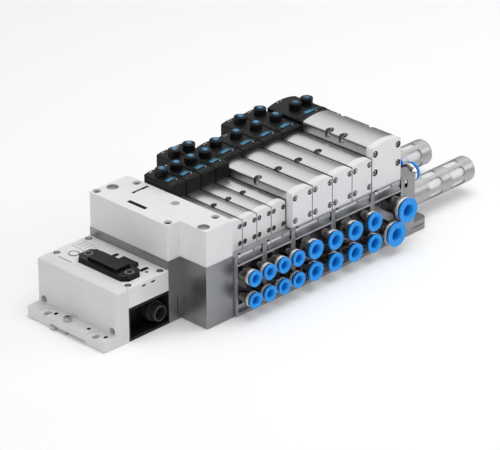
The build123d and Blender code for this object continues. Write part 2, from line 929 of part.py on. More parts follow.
def valve_body(size, left):
    """Body of one valve, arched on top, with the wells of its mounting screws."""
    edge = base_height + size.body_edge
    front = body_front_y(size)
    outline = arched_face(front, left, size.width, base_height, edge, size.body_rise, size.shoulder)
    with BuildPart() as body:
        extrude(outline, amount=-size.body_length)
        with BuildSketch(Plane.XY.offset(edge - size.well_depth)):
            with Locations(*well_points(size, left)):
                Circle(size.well_radius)
        extrude(amount=size.well_depth + size.body_rise, mode=Mode.SUBTRACT)
    return body.part


def pilot_head(size, left, coils):
    """Solenoid head of one valve, with its label window and a collar for each override button."""
    front = head_front_y(size)
    edge = base_height + size.head_edge
    length = size.head_lengths[coils]
    top = head_top(size)
    collar_top = top + collar_height
    outline = arched_face(front, left, size.width, base_height, edge, size.head_rise, size.shoulder / 2)
    window_width = size.width - 2 * window_margin
    window_arch = arc_drop(size.width, size.head_rise, window_width / 2)
    window_edge = edge + size.head_rise - window_arch + window_rise
    window_front = front + size.window_setback - window_length / 2
    window_left = left + window_margin
    window_bottom = edge - window_rise
    corner = window_rise / 2
    window = arched_face(
        window_front, window_left, window_width, window_bottom, window_edge, window_arch, corner
    )
    with BuildPart() as head:
        extrude(outline, amount=-length)
        with BuildSketch(right_plane(left)):
            with BuildLine():
                Polyline((front, top - head_bevel), (front + head_bevel, top), (front, top), close=True)
            make_face()
        extrude(amount=size.width, mode=Mode.SUBTRACT)
        extrude(window, amount=-window_length)
        with BuildSketch(Plane.XY.offset(edge)):
            with Locations(*button_points(size, left, coils)):
                Circle(collar_diameter / 2)
        extrude(amount=collar_top - edge)
        with BuildSketch(Plane.XY.offset(collar_top)):
            with Locations(*button_points(size, left, coils)):
                Circle(button_diameter / 2 + running_gap)
        extrude(amount=-(button_guide + button_travel + seat_gap), mode=Mode.SUBTRACT)
    return head.part


caps = {size.name: [] for size in sizes}
bodies = {size.name: [] for size in sizes}
heads = {size.name: [] for size in sizes}
for size, left, coils in valves:
    caps[size.name].append(end_cap(size, left))
    bodies[size.name].append(valve_body(size, left))
    heads[size.name].append(pilot_head(size, left, coils))

with BuildPart() as narrow_end_caps:
    add(caps["narrow"])

narrow_end_caps.part.label = "narrow_end_caps"
export_step(narrow_end_caps.part, "parts/narrow_end_caps.step")

with BuildPart() as medium_end_caps:
    add(caps["medium"])

medium_end_caps.part.label = "medium_end_caps"
export_step(medium_end_caps.part, "parts/medium_end_caps.step")

with BuildPart() as wide_end_cap:
    add(caps["wide"])

wide_end_cap.part.label = "wide_end_cap"
export_step(wide_end_cap.part, "parts/wide_end_cap.step")

with BuildPart() as narrow_valve_bodies:
    add(bodies["narrow"])

narrow_valve_bodies.part.label = "narrow_valve_bodies"
export_step(narrow_valve_bodies.part, "parts/narrow_valve_bodies.step")

with BuildPart() as medium_valve_bodies:
    add(bodies["medium"])

medium_valve_bodies.part.label = "medium_valve_bodies"
export_step(medium_valve_bodies.part, "parts/medium_valve_bodies.step")

with BuildPart() as wide_valve_body:
    add(bodies["wide"])

wide_valve_body.part.label = "wide_valve_body"
export_step(wide_valve_body.part, "parts/wide_valve_body.step")

with BuildPart() as narrow_pilot_heads:
    add(heads["narrow"])

narrow_pilot_heads.part.label = "narrow_pilot_heads"
export_step(narrow_pilot_heads.part, "parts/narrow_pilot_heads.step")

with BuildPart() as medium_pilot_heads:
    add(heads["medium"])

medium_pilot_heads.part.label = "medium_pilot_heads"
export_step(medium_pilot_heads.part, "parts/medium_pilot_heads.step")

with BuildPart() as wide_pilot_head:
    add(heads["wide"])

wide_pilot_head.part.label = "wide_pilot_head"
export_step(wide_pilot_head.part, "parts/wide_pilot_head.step")

# Override buttons, each sunk in the collar of its coil
for number, (size, left, coils) in enumerate(valves, start=1):
    collar_top = head_top(size) + collar_height
    for side, point in zip(size.button_sides, button_points(size, left, coils)):
        with BuildPart() as override_button:
            with BuildSketch(Plane.XY.offset(collar_top - button_guide)):
                with Locations(point):
                    Circle(button_diameter / 2)
            extrude(amount=button_guide + button_proud)
            chamfer(override_button.edges().group_by(Axis.Z)[-1], length=button_edge)

        override_button.part.label = f"override_button_{number}_{side}"
        export_step(override_button.part, f"parts/{override_button.part.label}.step")

# Push-in fittings of the working ports and of the two supply ports
supply_length = 14.7
supply_rear_setback = 38.8
supply_rear_drop = 7.8
supply_front_setback = 18.8
supply_front_drop = 9.6
supply_ports = {
    "narrow": (row_front_y + supply_rear_setback, right_plate_height - supply_rear_drop),
    "medium": (row_front_y + supply_front_setback, right_plate_height - supply_front_drop),
}
supply_names = {"narrow": "rear", "medium": "front"}


def standing_fittings(face, points, fitting, length):
    """Fittings that stand on one face: body, collar, tube bore and the recess of the ring's sleeve."""
    bore = bore_radius(fitting)
    recess = sleeve_reach + ring_travel + seat_gap
    with BuildPart() as standing:
        with BuildSketch(face):
            with Locations(*points):
                Circle(fitting.body_diameter / 2)
        extrude(amount=length)
        with BuildSketch(face.offset(length)):
            with Locations(*points):
                Circle(fitting.collar_diameter / 2)
        extrude(amount=-collar_length)
        with BuildSketch(face.offset(length)):
            with Locations(*points):
                Circle(bore)
        extrude(amount=fitting_floor - length, mode=Mode.SUBTRACT)
        with BuildSketch(face.offset(length)):
            with Locations(*points):
                Circle(bore + sleeve_wall + running_gap)
        extrude(amount=-recess, mode=Mode.SUBTRACT)
    return standing.part


def release_ring(face, point, fitting, length):
    """Ring that frees the tube when pushed: flange in front, sleeve inside the fitting."""
    bore = bore_radius(fitting)
    with BuildPart() as ring:
        with BuildSketch(face.offset(length + ring_travel + seat_gap)):
            with Locations(point):
                Circle(fitting.ring_diameter / 2)
        extrude(amount=ring_flange)
        with BuildSketch(face.offset(length + ring_travel + seat_gap)):
            with Locations(point):
                Circle(bore + sleeve_wall)
        extrude(amount=-(ring_travel + seat_gap + sleeve_reach))
        with BuildSketch(face.offset(length + ring_travel + seat_gap + ring_flange)):
            with Locations(point):
                Circle(bore)
        extrude(amount=-(ring_flange + ring_travel + seat_gap + sleeve_reach), mode=Mode.SUBTRACT)
    return ring.part


port_face = front_plane(port_face_y)
supply_face = right_plane(right_plate_x)
ports = {size.name: [] for size in sizes}
for size, left, coils in valves:
    ports[size.name].extend(port_points(size, left))

standing = {}
for name, fitting in fittings.items():
    standing[name] = [standing_fittings(port_face, ports[name], fitting, fitting.length)]
for name, point in supply_ports.items():
    standing[name].append(standing_fittings(supply_face, [point], fittings[name], supply_length))

with BuildPart() as narrow_fittings:
    add(standing["narrow"])

narrow_fittings.part.label = "narrow_fittings"
export_step(narrow_fittings.part, "parts/narrow_fittings.step")

with BuildPart() as medium_fittings:
    add(standing["medium"])

medium_fittings.part.label = "medium_fittings"
export_step(medium_fittings.part, "parts/medium_fittings.step")

with BuildPart() as wide_fittings:
    add(standing["wide"])

wide_fittings.part.label = "wide_fittings"
export_step(wide_fittings.part, "parts/wide_fittings.step")

for number, (size, left, coils) in enumerate(valves, start=1):
    fitting = fittings[size.name]
    for level, point in zip(("lower", "upper"), port_points(size, left)):
        ring = release_ring(port_face, point, fitting, fitting.length)
        ring.label = f"release_ring_{number}_{level}"
        export_step(ring, f"parts/{ring.label}.step")

for name, point in supply_ports.items():
    ring = release_ring(supply_face, point, fittings[name], supply_length)
    ring.label = f"supply_release_ring_{supply_names[name]}"
    export_step(ring, f"parts/{ring.label}.step")

# Screws: plain heads on top of the valves, the node, the adapter and the rail clamp
cover_screw_radius = 3.2
cover_screw_height = 1.8
housing_screw_radius = 2.8
housing_screw_height = 1.4


def screw_heads(z, points, radius, height):
    """Screw heads that stand on one level."""
    with BuildPart() as screws_here:
        with BuildSketch(Plane.XY.offset(z)):
            with Locations(*points):
                Circle(radius)
        extrude(amount=height)
    return screws_here.part


valve_screws = []
for size, left, coils in valves:
    floor = base_height + size.body_edge - size.well_depth
    points = well_points(size, left)
    valve_screws.append(screw_heads(floor, points, size.well_radius - screw_play, valve_screw_height))
cover_floor = adapter_height - cover_recess_depth
adapter_screws = screw_heads(cover_floor, cover_screws, cover_screw_radius, cover_screw_height)
housing_floor = node_height - housing_recess_depth
node_screws = screw_heads(housing_floor, node_corners, housing_screw_radius, housing_screw_height)
clamp_point = [(clamp_screw_x, clamp_screw_y)]
clamp_screw = screw_heads(foot_height, clamp_point, clamp_head_radius, clamp_head_height)

with BuildPart() as screws:
    add(valve_screws)
    add(adapter_screws)
    add(node_screws)
    add(clamp_screw)
    with BuildSketch(Plane.XY.offset(foot_height)):
        with Locations(*clamp_point):
            Circle(clamp_shank_radius)
    extrude(amount=seat_gap - foot_height)

screws.part.label = "screws"
export_step(screws.part, "parts/screws.step")
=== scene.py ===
"""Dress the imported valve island: finishes for its castings, profiles and plastics, and its small fittings."""
from math import cos, pi, radians, sin, sqrt

import bmesh
import bpy
import numpy as np
from mathutils import Matrix, Vector


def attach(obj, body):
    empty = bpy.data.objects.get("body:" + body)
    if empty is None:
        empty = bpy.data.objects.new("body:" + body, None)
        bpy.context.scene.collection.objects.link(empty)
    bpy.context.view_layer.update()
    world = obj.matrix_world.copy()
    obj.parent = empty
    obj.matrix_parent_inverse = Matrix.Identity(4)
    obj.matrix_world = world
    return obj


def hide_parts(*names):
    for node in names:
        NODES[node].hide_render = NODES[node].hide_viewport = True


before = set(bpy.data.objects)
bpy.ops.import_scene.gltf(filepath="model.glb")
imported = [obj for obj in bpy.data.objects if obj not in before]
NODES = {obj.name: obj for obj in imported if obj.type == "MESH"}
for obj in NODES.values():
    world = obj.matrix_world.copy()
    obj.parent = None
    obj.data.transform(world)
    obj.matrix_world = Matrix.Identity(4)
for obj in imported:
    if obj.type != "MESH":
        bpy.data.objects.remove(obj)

bl_info = {
    "name": "Pneumatic Valve Island",
    "version": (1, 0, 0),
    "blender": (4, 5, 0),
    "location": "View3D > Sidebar > Valve Island",
    "description": "Adds finishes, screws, label films and small hardware to a valve island, and its studio",
    "category": "Object",
}

BODY = "island"
MM = 0.001


def linear(hex_colour):
    """Linear colour of an sRGB hex value: the sRGB curve undone channel by channel."""
    channels = [int(hex_colour[i : i + 2], 16) / 255 for i in (1, 3, 5)]
    return tuple(c / 12.92 if c <= 0.04045 else ((c + 0.055) / 1.055) ** 2.4 for c in channels)


def colour_property(name, description, hex_colour):
    """Colour picker whose default is an sRGB hex value."""
    return bpy.props.FloatVectorProperty(
        name=name, description=description, subtype="COLOR", size=3, min=0.0, max=1.0, default=linear(hex_colour)
    )


def number_property(name, description, default, unit="NONE", **limits):
    """Number in Blender's own unit: radians, metres, watts, or millimetres of a lens."""
    return bpy.props.FloatProperty(name=name, description=description, default=default, unit=unit, **limits)


class IslandColours(bpy.types.PropertyGroup):
    """Colours of the island's finishes."""

    casting: colour_property("Casting", "Left end plate, silver-grey coated die casting", "#E6E6E7")
    # The housing's colour also paints highlights: the near-white strips along the rails
    housing: colour_property("Housing", "Bus node housing, light grey moulding", "#EEEEEF")
    cover: colour_property("Cover", "Adapter cover and end caps, white coating", "#EFEEF0")
    profile: colour_property("Profile", "Valve bodies, satin anodised aluminium", "#DAD8D9")
    block: colour_property("Block", "Adapter, right end plate and rails, milled aluminium", "#A3A3A5")
    base: colour_property("Base", "Sub-bases, matt cast aluminium", "#BBBBBE")
    black: colour_property("Black", "Pilot heads and node base, black moulding", "#131213")
    nickel: colour_property("Nickel", "Push-in fittings, nickel plating", "#A09C99")
    chrome: colour_property("Chrome", "Collars behind the release rings", "#F6F6F8")
    ring: colour_property("Ring", "Release rings, faces of the blue moulding", "#1F9BF7")
    # The bore's own colour is painted light, lifting the shade inside the ring
    ring_bore_painted_light: colour_property("Ring bore", "Release rings, inside of the blue moulding", "#1FA2F6")
    # The buttons' two colours paint light: a highlight on the crown, shade at the edge
    button: colour_property("Button", "Override buttons, crown of the dome", "#4390B6")
    button_rim_shade: colour_property("Button rim", "Override buttons, edge of the dome", "#16384F")
    film: colour_property("Film", "Label films on the pilot heads", "#1F7597")
    # Steel also paints highlights: the bright rings on the node cover's lugs
    steel: colour_property("Steel", "Screws and clips, bright zinc plating", "#C9C9CB")
    sleeve: colour_property("Sleeve", "Slotted sleeves of the silencers, blasted aluminium", "#C2C2C4")
    # Near-black of the linings: painted shade in slots, holes and gaps
    recess: colour_property("Recess", "Linings of slots and screw holes", "#0B0B0C")
    # Grey is painted shade on the plain recesses' floors; on the disc, the clip and the label's lines it is their own
    # colour
    grey: colour_property("Grey", "Floors of the plain recesses in the cover", "#A6A6A8")
    lens: colour_property("Lens", "Switch cover of the node, smoked and glossy", "#0D0D0E")
    plug: colour_property("Plug", "Power connector, dark grey moulding", "#3B3A3B")


class StageSettings(bpy.types.PropertyGroup):
    """Camera and light of the studio."""

    azimuth: number_property("Azimuth", "Camera's bearing round the island", radians(-44.94), "ROTATION")
    elevation: number_property("Elevation", "Camera's height angle", radians(26.27), "ROTATION")
    roll: number_property("Roll", "Camera's turn about its own axis", radians(-0.57), "ROTATION")
    distance: number_property(
        "Distance", "From the aimed point to the camera", 3122.62 * MM, "LENGTH", precision=5, min=0.0
    )
    lens: number_property("Lens", "Focal length on a 36 mm sensor", 240.04, "CAMERA")
    key_power: number_property("Key light", "Power of the large lamp above", 19.5, "POWER")
    side_power: number_property("Right light", "Power of the lamp on the right", 10.0, "POWER")
    left_power: number_property("Left light", "Power of the lamp on the left", 5.5, "POWER")
    sky_level: number_property("Sky level", "Strength of the even light around", 0.42)


# Materials

def add_node(tree, kind, links=None, values=None, stops=(), **settings):
    """Add a node: settings are its own, values and links fill its sockets, stops its ramp in order of position."""
    node = tree.nodes.new(kind)
    for key, value in settings.items():
        setattr(node, key, value)
    for socket, value in (values or {}).items():
        node.inputs[socket].default_value = value
    for socket, output in (links or {}).items():
        tree.links.new(output, node.inputs[socket])
    for position, _ in stops[1:-1]:
        node.color_ramp.elements.new(position)
    for number, (position, colour) in enumerate(stops):
        stop = node.color_ramp.elements[number]
        stop.position, stop.color = position, colour
    return node


def empty_material(name):
    """New material with no nodes in its tree."""
    material = bpy.data.materials.new(name)
    material.use_nodes = True
    material.node_tree.nodes.clear()
    return material, material.node_tree


def close_material(tree, shader):
    """Send the shader to the surface."""
    add_node(tree, "ShaderNodeOutputMaterial", links={"Surface": shader.outputs[0]})


def toned(colour, factor):
    """Colour with alpha, darker or lighter by a factor."""
    return (*[min(1.0, channel * factor) for channel in colour], 1.0)


def grey(level):
    """Neutral colour with alpha."""
    return (level, level, level, 1.0)


def cover_nodes(material, names):
    """Give CAD nodes a finish through their material slots."""
    for name in names:
        slots = NODES[name].data.materials
        slots.clear()
        slots.append(material)


def grained(
    name, colour, values, nodes=(), tone=0.94, patch_mm=14.0, grain_mm=0.8, depth_mm=0.02, stretch=(1.0, 1.0, 1.0)
):
    """Surface in two close tones in soft patches, with a fine grain and slightly rounded edges.

    The real grain is finer than 0.3 mm and can't show in the render, so grain_mm is as coarse as it needs to be.
    """
    material, tree = empty_material(name)
    place = add_node(tree, "ShaderNodeTexCoord")
    mapped = add_node(tree, "ShaderNodeMapping", links={"Vector": place.outputs["Object"]}, values={"Scale": stretch})
    patches = add_node(
        tree, "ShaderNodeTexNoise", links={"Vector": mapped.outputs[0]},
        values={"Scale": 1 / (patch_mm * MM), "Detail": 3.0},
    )
    tones = add_node(
        tree, "ShaderNodeValToRGB", links={"Fac": patches.outputs["Fac"]},
        stops=((0.3, toned(colour, tone)), (0.7, toned(colour, 1.0))),
    )
    grain = add_node(
        tree, "ShaderNodeTexNoise", links={"Vector": mapped.outputs[0]},
        values={"Scale": 1 / (grain_mm * MM), "Detail": 2.0},
    )
    rough = values["Roughness"]
    spread = add_node(
        tree, "ShaderNodeMapRange", links={"Value": grain.outputs["Fac"]},
        values={"From Min": 0.3, "From Max": 0.7, "To Min": rough * 0.88, "To Max": min(1.0, rough * 1.12)},
    )
    edge = add_node(tree, "ShaderNodeBevel", samples=4, values={"Radius": 0.3 * MM})
    relief = add_node(
        tree, "ShaderNodeBump", links={"Height": grain.outputs["Fac"], "Normal": edge.outputs[0]},
        values={"Strength": 0.6, "Distance": depth_mm * MM},
    )
    rest = {socket: value for socket, value in values.items() if socket != "Roughness"}
    links = {"Base Color": tones.outputs[0], "Normal": relief.outputs[0], "Roughness": spread.outputs[0]}
    close_material(tree, add_node(tree, "ShaderNodeBsdfPrincipled", links=links, values=rest))
    cover_nodes(material, nodes)


def two_toned(name, attribute, first, last, values, nodes):
    """Smooth moulding whose colour runs from the first to the last along the piece's own attribute."""
    material, tree = empty_material(name)
    share = add_node(tree, "ShaderNodeAttribute", attribute_name=attribute)
    ramp = add_node(
        tree, "ShaderNodeValToRGB", links={"Fac": share.outputs["Fac"]},
        stops=((0.0, toned(first, 1.0)), (1.0, toned(last, 1.0))),
    )
    edge = add_node(tree, "ShaderNodeBevel", samples=4, values={"Radius": 0.2 * MM})
    links = {"Base Color": ramp.outputs["Color"], "Normal": edge.outputs[0]}
    close_material(tree, add_node(tree, "ShaderNodeBsdfPrincipled", links=links, values=values))
    cover_nodes(material, nodes)


class ISLAND_OT_finishes(bpy.types.Operator):
    """Give every CAD piece the finish of the real one"""

    bl_idname = "island.finishes"
    bl_label = "Finish the CAD pieces"

    def execute(self, context):
        colours = context.scene.island_colours
        self.add_metals(colours)
        self.add_plastics(colours)
        return {"FINISHED"}

    def add_metals(self, colours):
        """Castings, profiles, milled blocks, sleeves and plated parts."""
        # Coated die casting: even and matt, with a grain only seen close by
        grained(
            "coated_die_casting", colours.casting, {"Roughness": 0.5}, ["left_end_plate"], patch_mm=30.0, grain_mm=0.7
        )
        # White coated zinc die casting of the caps and the adapter cover: even, with a soft sheen
        grained(
            "white_coating", colours.cover, {"Roughness": 0.45},
            ["adapter_cover", "narrow_end_caps", "medium_end_caps", "wide_end_cap"],
            tone=0.97, patch_mm=25.0, grain_mm=0.9,
        )
        # Extruded profile, anodised: fine draw lines along the valve
        grained(
            "anodised_profile", colours.profile, {"Roughness": 0.3, "Metallic": 1.0},
            ["narrow_valve_bodies", "medium_valve_bodies", "wide_valve_body"],
            tone=0.97, patch_mm=6.0, grain_mm=0.5, depth_mm=0.004, stretch=(1.0, 0.06, 1.0),
        )
        # Milled aluminium of the blocks: short tool marks along the row
        grained(
            "milled_aluminium", colours.block, {"Roughness": 0.36, "Metallic": 1.0},
            ["adapter_body", "right_end_plate", "label_holders"], tone=0.9, patch_mm=9.0, stretch=(0.15, 1.0, 1.0),
        )
        # Blasted aluminium casting of the sub-bases: matt, so it takes light from all sides
        grained(
            "blasted_casting", colours.base, {"Roughness": 0.55, "Metallic": 0.85}, ["sub_bases"],
            tone=0.92, patch_mm=9.0, grain_mm=0.7,
        )
        # Turned and blasted aluminium of the silencers' sleeves: a dull satin
        grained(
            "blasted_aluminium", colours.sleeve, {"Roughness": 0.45, "Metallic": 1.0}, ["silencer_shells"],
            tone=0.88, patch_mm=6.0, grain_mm=0.6,
        )
        # Nickel plating over turned brass: smooth, in slightly uneven tones
        grained(
            "nickel_plating", colours.nickel, {"Roughness": 0.16, "Metallic": 1.0},
            ["narrow_fittings", "medium_fittings", "wide_fittings"],
            tone=0.85, patch_mm=5.0, grain_mm=1.2, depth_mm=0.008,
        )
        # Chrome plating of the rolled bands at the fittings' mouths: the brightest metal here
        grained(
            "chrome_plating", colours.chrome, {"Roughness": 0.18, "Metallic": 0.6},
            tone=0.95, grain_mm=1.5, depth_mm=0.004,
        )
        # Bright zinc plating of the screws and the rail clamp: small sharp glints; the same finish makes the bright
        # rings on the node cover's lugs, painted highlights
        grained(
            "zinc_plated_steel_and_highlights", colours.steel, {"Roughness": 0.2, "Metallic": 1.0}, ["screws", "rail_clamp"],
            tone=0.9, patch_mm=4.0, depth_mm=0.008,
        )

    def add_plastics(self, colours):
        """Mouldings, linings and paint."""
        # Glass-filled polyamide of the node's housing, moulded in an eroded tool: light grey and matt; the same finish
        # gives the rails' clips and their near-white strips, which are painted highlights
        grained("light_polyamide_and_highlights", colours.housing, {"Roughness": 0.55}, ["node_housing"], patch_mm=20.0, grain_mm=0.6)
        # Black polyester of the pilot heads and the node base: matt, with little sheen
        grained(
            "black_polyester", colours.black, {"Roughness": 0.5, "Specular IOR Level": 0.3},
            ["narrow_pilot_heads", "medium_pilot_heads", "wide_pilot_head", "node_base"],
            tone=0.8, patch_mm=10.0, grain_mm=0.5,
        )
        # Glass-filled polyamide of the power connector: a dark grey, matt moulding
        grained(
            "connector_polyamide", colours.plug, {"Roughness": 0.45}, ["power_connector"],
            tone=0.85, patch_mm=8.0, grain_mm=0.5,
        )
        # Smoked polycarbonate over the rotary switches: smooth and nearly black
        grained(
            "smoked_polycarbonate", colours.lens, {"Roughness": 0.2, "Specular IOR Level": 0.22}, ["switch_cover"],
            tone=0.6, grain_mm=1.5, depth_mm=0.01,
        )
        # Porous plastic of the silencers' cores: white and rough
        grained(
            "porous_plastic", colours.cover, {"Roughness": 0.8}, ["silencer_cores"],
            tone=0.95, patch_mm=2.0, grain_mm=0.7, depth_mm=0.15,
        )
        # Near-black put inside slots, screw holes and gaps between parts: painted shade, taking nearly all light
        grained(
            "painted_shade_lining", colours.recess, {"Roughness": 0.7, "Specular IOR Level": 0.15},
            tone=0.7, grain_mm=0.6, depth_mm=0.01,
        )
        # Matt grey, darker than the cover: painted shade on the floors and walls of the plain recesses, and the real
        # grey of a disc, a clip and the printed lines of the node's label
        grained("grey_paint_and_shade", colours.grey, {"Roughness": 0.6}, tone=0.92, patch_mm=6.0, grain_mm=0.6, depth_mm=0.01)
        # White pad print on the pilot heads: flat and even
        grained("white_print", colours.cover, {"Roughness": 0.5}, grain_mm=0.5, depth_mm=0.005)
        # Acetal of the release rings: smooth, its bore coloured apart from the face by depth, a touch lighter: painted
        # light in the bore's shade
        two_toned(
            "blue_acetal", "depth", colours.ring, colours.ring_bore_painted_light, {"Roughness": 0.4, "Specular IOR Level": 0.35},
            [name for name in NODES if "release_ring" in name],
        )
        # Translucent polycarbonate of the buttons: a painted highlight on the crown, painted shade where it turns down
        two_toned(
            "button_polycarbonate", "rim", colours.button, colours.button_rim_shade, {"Roughness": 0.3, "Coat Weight": 0.15},
            [name for name in NODES if name.startswith("override_button")],
        )


# Shapes: loops of points in millimetres, joined into closed shells

def loop(radius, height=0.0, steps=32, lobes=0, depth=0.0):
    """Closed round loop at a height; with lobes, the radius swells and shrinks as a cosine of the angle."""
    turn = np.linspace(0, 2 * pi, steps + 1)[:-1]
    reach = radius * (1 + depth * np.cos(lobes * turn))
    return np.stack([reach * np.cos(turn), reach * np.sin(turn), np.full(steps, height)], axis=1)


def rounded_loop(width, length, corner, height=0.0, steps=6):
    """Closed rectangle with quarter-circle corners: corner centres plus a radius at the angle."""
    turn = np.linspace(0, pi / 2, steps)
    sides = []
    for number, (across, along) in enumerate(((1, 1), (-1, 1), (-1, -1), (1, -1))):
        angle = turn + number * pi / 2
        x = across * (width / 2 - corner) + corner * np.cos(angle)
        y = along * (length / 2 - corner) + corner * np.sin(angle)
        sides.append(np.stack([x, y, np.full(steps, height)], axis=1))
    return np.concatenate(sides)


def shell(loops, ends=True):
    """Loops of equal count joined by quads, with an end face on the first and the last loop."""
    loops = np.asarray(loops)
    rows, steps = loops.shape[:2]
    here = np.arange(steps)
    after = np.roll(here, -1)
    starts = np.arange(rows - 1)[:, None] * steps
    quads = np.stack([starts + here, starts + after, starts + steps + after, starts + steps + here], axis=2)
    faces = quads.reshape(-1, 4).tolist()
    if ends:
        faces += [here[::-1].tolist(), ((rows - 1) * steps + here).tolist()]
    return loops.reshape(-1, 3), faces


def ring_shell(loops):
    """Loops joined by quads all the way round, the last one to the first: a closed ring."""
    points, faces = shell(loops, ends=False)
    steps = len(loops[0])
    here = np.arange(steps)
    after = np.roll(here, -1)
    last = len(points) - steps
    faces += np.stack([last + here, last + after, after, here], axis=1).tolist()
    return points, faces


def turned(profile, steps=32):
    """Solid of revolution: (radius, height) pairs carried round the axis, closed at both ends."""
    return shell([loop(radius, height, steps) for radius, height in profile])


def tube(outer, inner, length, steps=32):
    """Straight tube from height zero: two radii carried round the axis, joined at both ends."""
    corners = ((outer, 0.0), (outer, length), (inner, length), (inner, 0.0))
    return ring_shell([loop(radius, height, steps) for radius, height in corners])


def block(low, high):
    """Closed box between two corners."""
    (x0, y0, z0), (x1, y1, z1) = low, high
    return shell([np.array([(x0, y0, z), (x1, y0, z), (x1, y1, z), (x0, y1, z)]) for z in (z0, z1)])


def plate(width, length, corner, thickness, edge):
    """Thin plate with rounded corners and a rounded upper edge."""
    rows = [(0.0, 0.0), (0.0, thickness - edge), (0.3 * edge, thickness - 0.3 * edge), (edge, thickness)]
    return shell([
        rounded_loop(width - 2 * inset, length - 2 * inset, max(corner - inset, 0.05), height) for inset, height in rows
    ])


def tray(width, length, corner, depth):
    """Open box with rounded corners, its floor at height zero: outer wall, rim, inner wall, inner floor."""
    wall = 0.25
    inner = (width - 2 * wall, length - 2 * wall, corner)
    return shell([
        rounded_loop(width, length, corner, 0.0), rounded_loop(width, length, corner, depth),
        rounded_loop(*inner, depth), rounded_loop(*inner, wall),
    ])


def screw(radius, height, socket=0.55):
    """Cheese head with a rounded rim and a six-lobed socket sunk to a third of its height."""
    steps, lobes, lobe_depth = 24, 6, 0.12
    rim = [(1.0, 0.0), (1.0, 0.75), (0.96, 0.9), (0.86, 1.0), (socket + 0.08, 1.0)]
    rows = [loop(radius * share, height * level, steps) for share, level in rim]
    rows += [loop(radius * socket, height * level, steps, lobes, lobe_depth) for level in (0.95, 0.3)]
    return shell(rows)


def hexagon(radius):
    """Flat hexagonal plate that darkens the socket of a screw: painted shade."""
    return turned([(radius, 0.0), (radius, 0.3)], 6)


def placed(shape, centre, normal=(0, 0, 1), right=(1, 0, 0)):
    """Shape whose own X, Y and Z come to lie along right, normal x right and normal, at the centre."""
    points, faces = shape
    z = np.array(normal, float)
    x = np.array(right, float)
    axes = np.stack([x, np.cross(z, x), z])
    return points @ axes + np.array(centre, float), faces


def gathered(shapes):
    """Several shapes as one, with their face numbers shifted."""
    points, faces, start = [], [], 0
    for shape_points, shape_faces in shapes:
        points.append(shape_points)
        faces += [[start + corner for corner in face] for face in shape_faces]
        start += len(shape_points)
    return np.concatenate(points), faces


def mark(made, name, values):
    """Store one number for each point of a mesh, for its material to read."""
    layer = made.data.attributes.new(name, "FLOAT", "POINT")
    layer.data.foreach_set("value", np.asarray(values, float))


def piece(name, shape, finish, body=BODY, replaces=()):
    """Mesh object of one piece, riding on a body and standing for the CAD nodes named."""
    points, faces = shape
    mesh = bpy.data.meshes.new(name)
    mesh.from_pydata((points * MM).tolist(), [], faces)
    mesh.materials.append(bpy.data.materials[finish])
    form = bmesh.new()
    form.from_mesh(mesh)
    bmesh.ops.recalc_face_normals(form, faces=form.faces)
    form.to_mesh(mesh)
    form.free()
    mesh.shade_smooth()
    mesh.set_sharp_from_angle(angle=radians(35))
    made = bpy.data.objects.new(name, mesh)
    bpy.context.scene.collection.objects.link(made)
    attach(made, body)
    if replaces:
        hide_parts(*replaces)
    return made


# Ways in which a placed shape looks
FRONT = {"normal": (0, -1, 0)}
LEFT = {"normal": (-1, 0, 0), "right": (0, 1, 0)}
RIGHT = {"normal": (1, 0, 0), "right": (0, 1, 0)}

# The row of valves, in millimetres, as the CAD model has it: widths, heights and depths of each kind of valve,
# then each valve's kind, left side and number of coils, and each sub-base's left side and width
KINDS = {
    "narrow": {
        "width": 18.0, "edge": 90.3, "rise": 1.7, "wells": ((2.2, -35.4),), "well_radius": 3.1, "well_depth": 4.5,
        "cap": -75.4, "cap_bottom": 61.9, "cap_screw_inset": 2.8, "cap_screw_rows": (67.4, 84.6),
        "cap_screw_radius": 2.2, "head": -2.0, "head_edge": 106.3, "head_rise": 1.3, "film": (6.5, 7.6),
        "lengths": (37.0, 60.0), "buttons": ((0.0, 21.0), (0.0, 43.0)), "sides": ("front", "rear"), "collar": 114.0,
        "bore": 4.1, "ring": 7.8, "ring_back": -100.6, "ports": ((0.0, 20.2), (0.0, 42.5)), "collar_radius": 7.6,
    },
    "medium": {
        "width": 26.0, "edge": 98.7, "rise": 2.3, "wells": ((2.9, -36.0),), "well_radius": 3.9, "well_depth": 6.0,
        "cap": -84.0, "cap_bottom": 63.2, "cap_screw_inset": 3.1, "cap_screw_rows": (70.7, 93.8),
        "cap_screw_radius": 2.7, "head": 7.5, "head_edge": 105.5, "head_rise": 1.8, "film": (8.2, 15.4),
        "lengths": (36.0, 57.0), "buttons": ((0.0, 30.4), (0.0, 51.6)), "sides": ("front", "rear"), "collar": 113.7,
        "bore": 5.1, "ring": 9.45, "ring_back": -99.9, "ports": ((0.0, 20.2), (0.0, 43.0)), "collar_radius": 9.1,
    },
    "wide": {
        "width": 39.5, "edge": 108.3, "rise": 3.0, "wells": ((3.2, -43.5), (3.2, -25.5), (36.3, -46.5), (36.3, -9.5)),
        "well_radius": 4.3, "well_depth": 6.5,
        "cap": -84.5, "cap_bottom": 63.9, "cap_screw_inset": 3.9, "cap_screw_rows": (83.0, 102.3),
        "cap_screw_radius": 3.1, "head": 7.5, "head_edge": 108.3, "head_rise": 3.0, "film": (8.2, 15.2),
        "lengths": (47.4, 47.4), "buttons": ((-6.7, 30.0), (9.3, 30.0)), "sides": ("left", "right"), "collar": 117.7,
        "bore": 6.1, "ring": 12.5, "ring_back": -103.4, "ports": ((-6.6, 21.3), (9.1, 41.3)), "collar_radius": 12.0,
    },
}
ROW = [("narrow", -63.1 + 19.0 * i, 1 + i // 2) for i in range(4)]
ROW += [("medium", 13.4 + 27.0 * i, 1 + i // 2) for i in range(4)]
ROW += [("wide", 120.9, 2)]
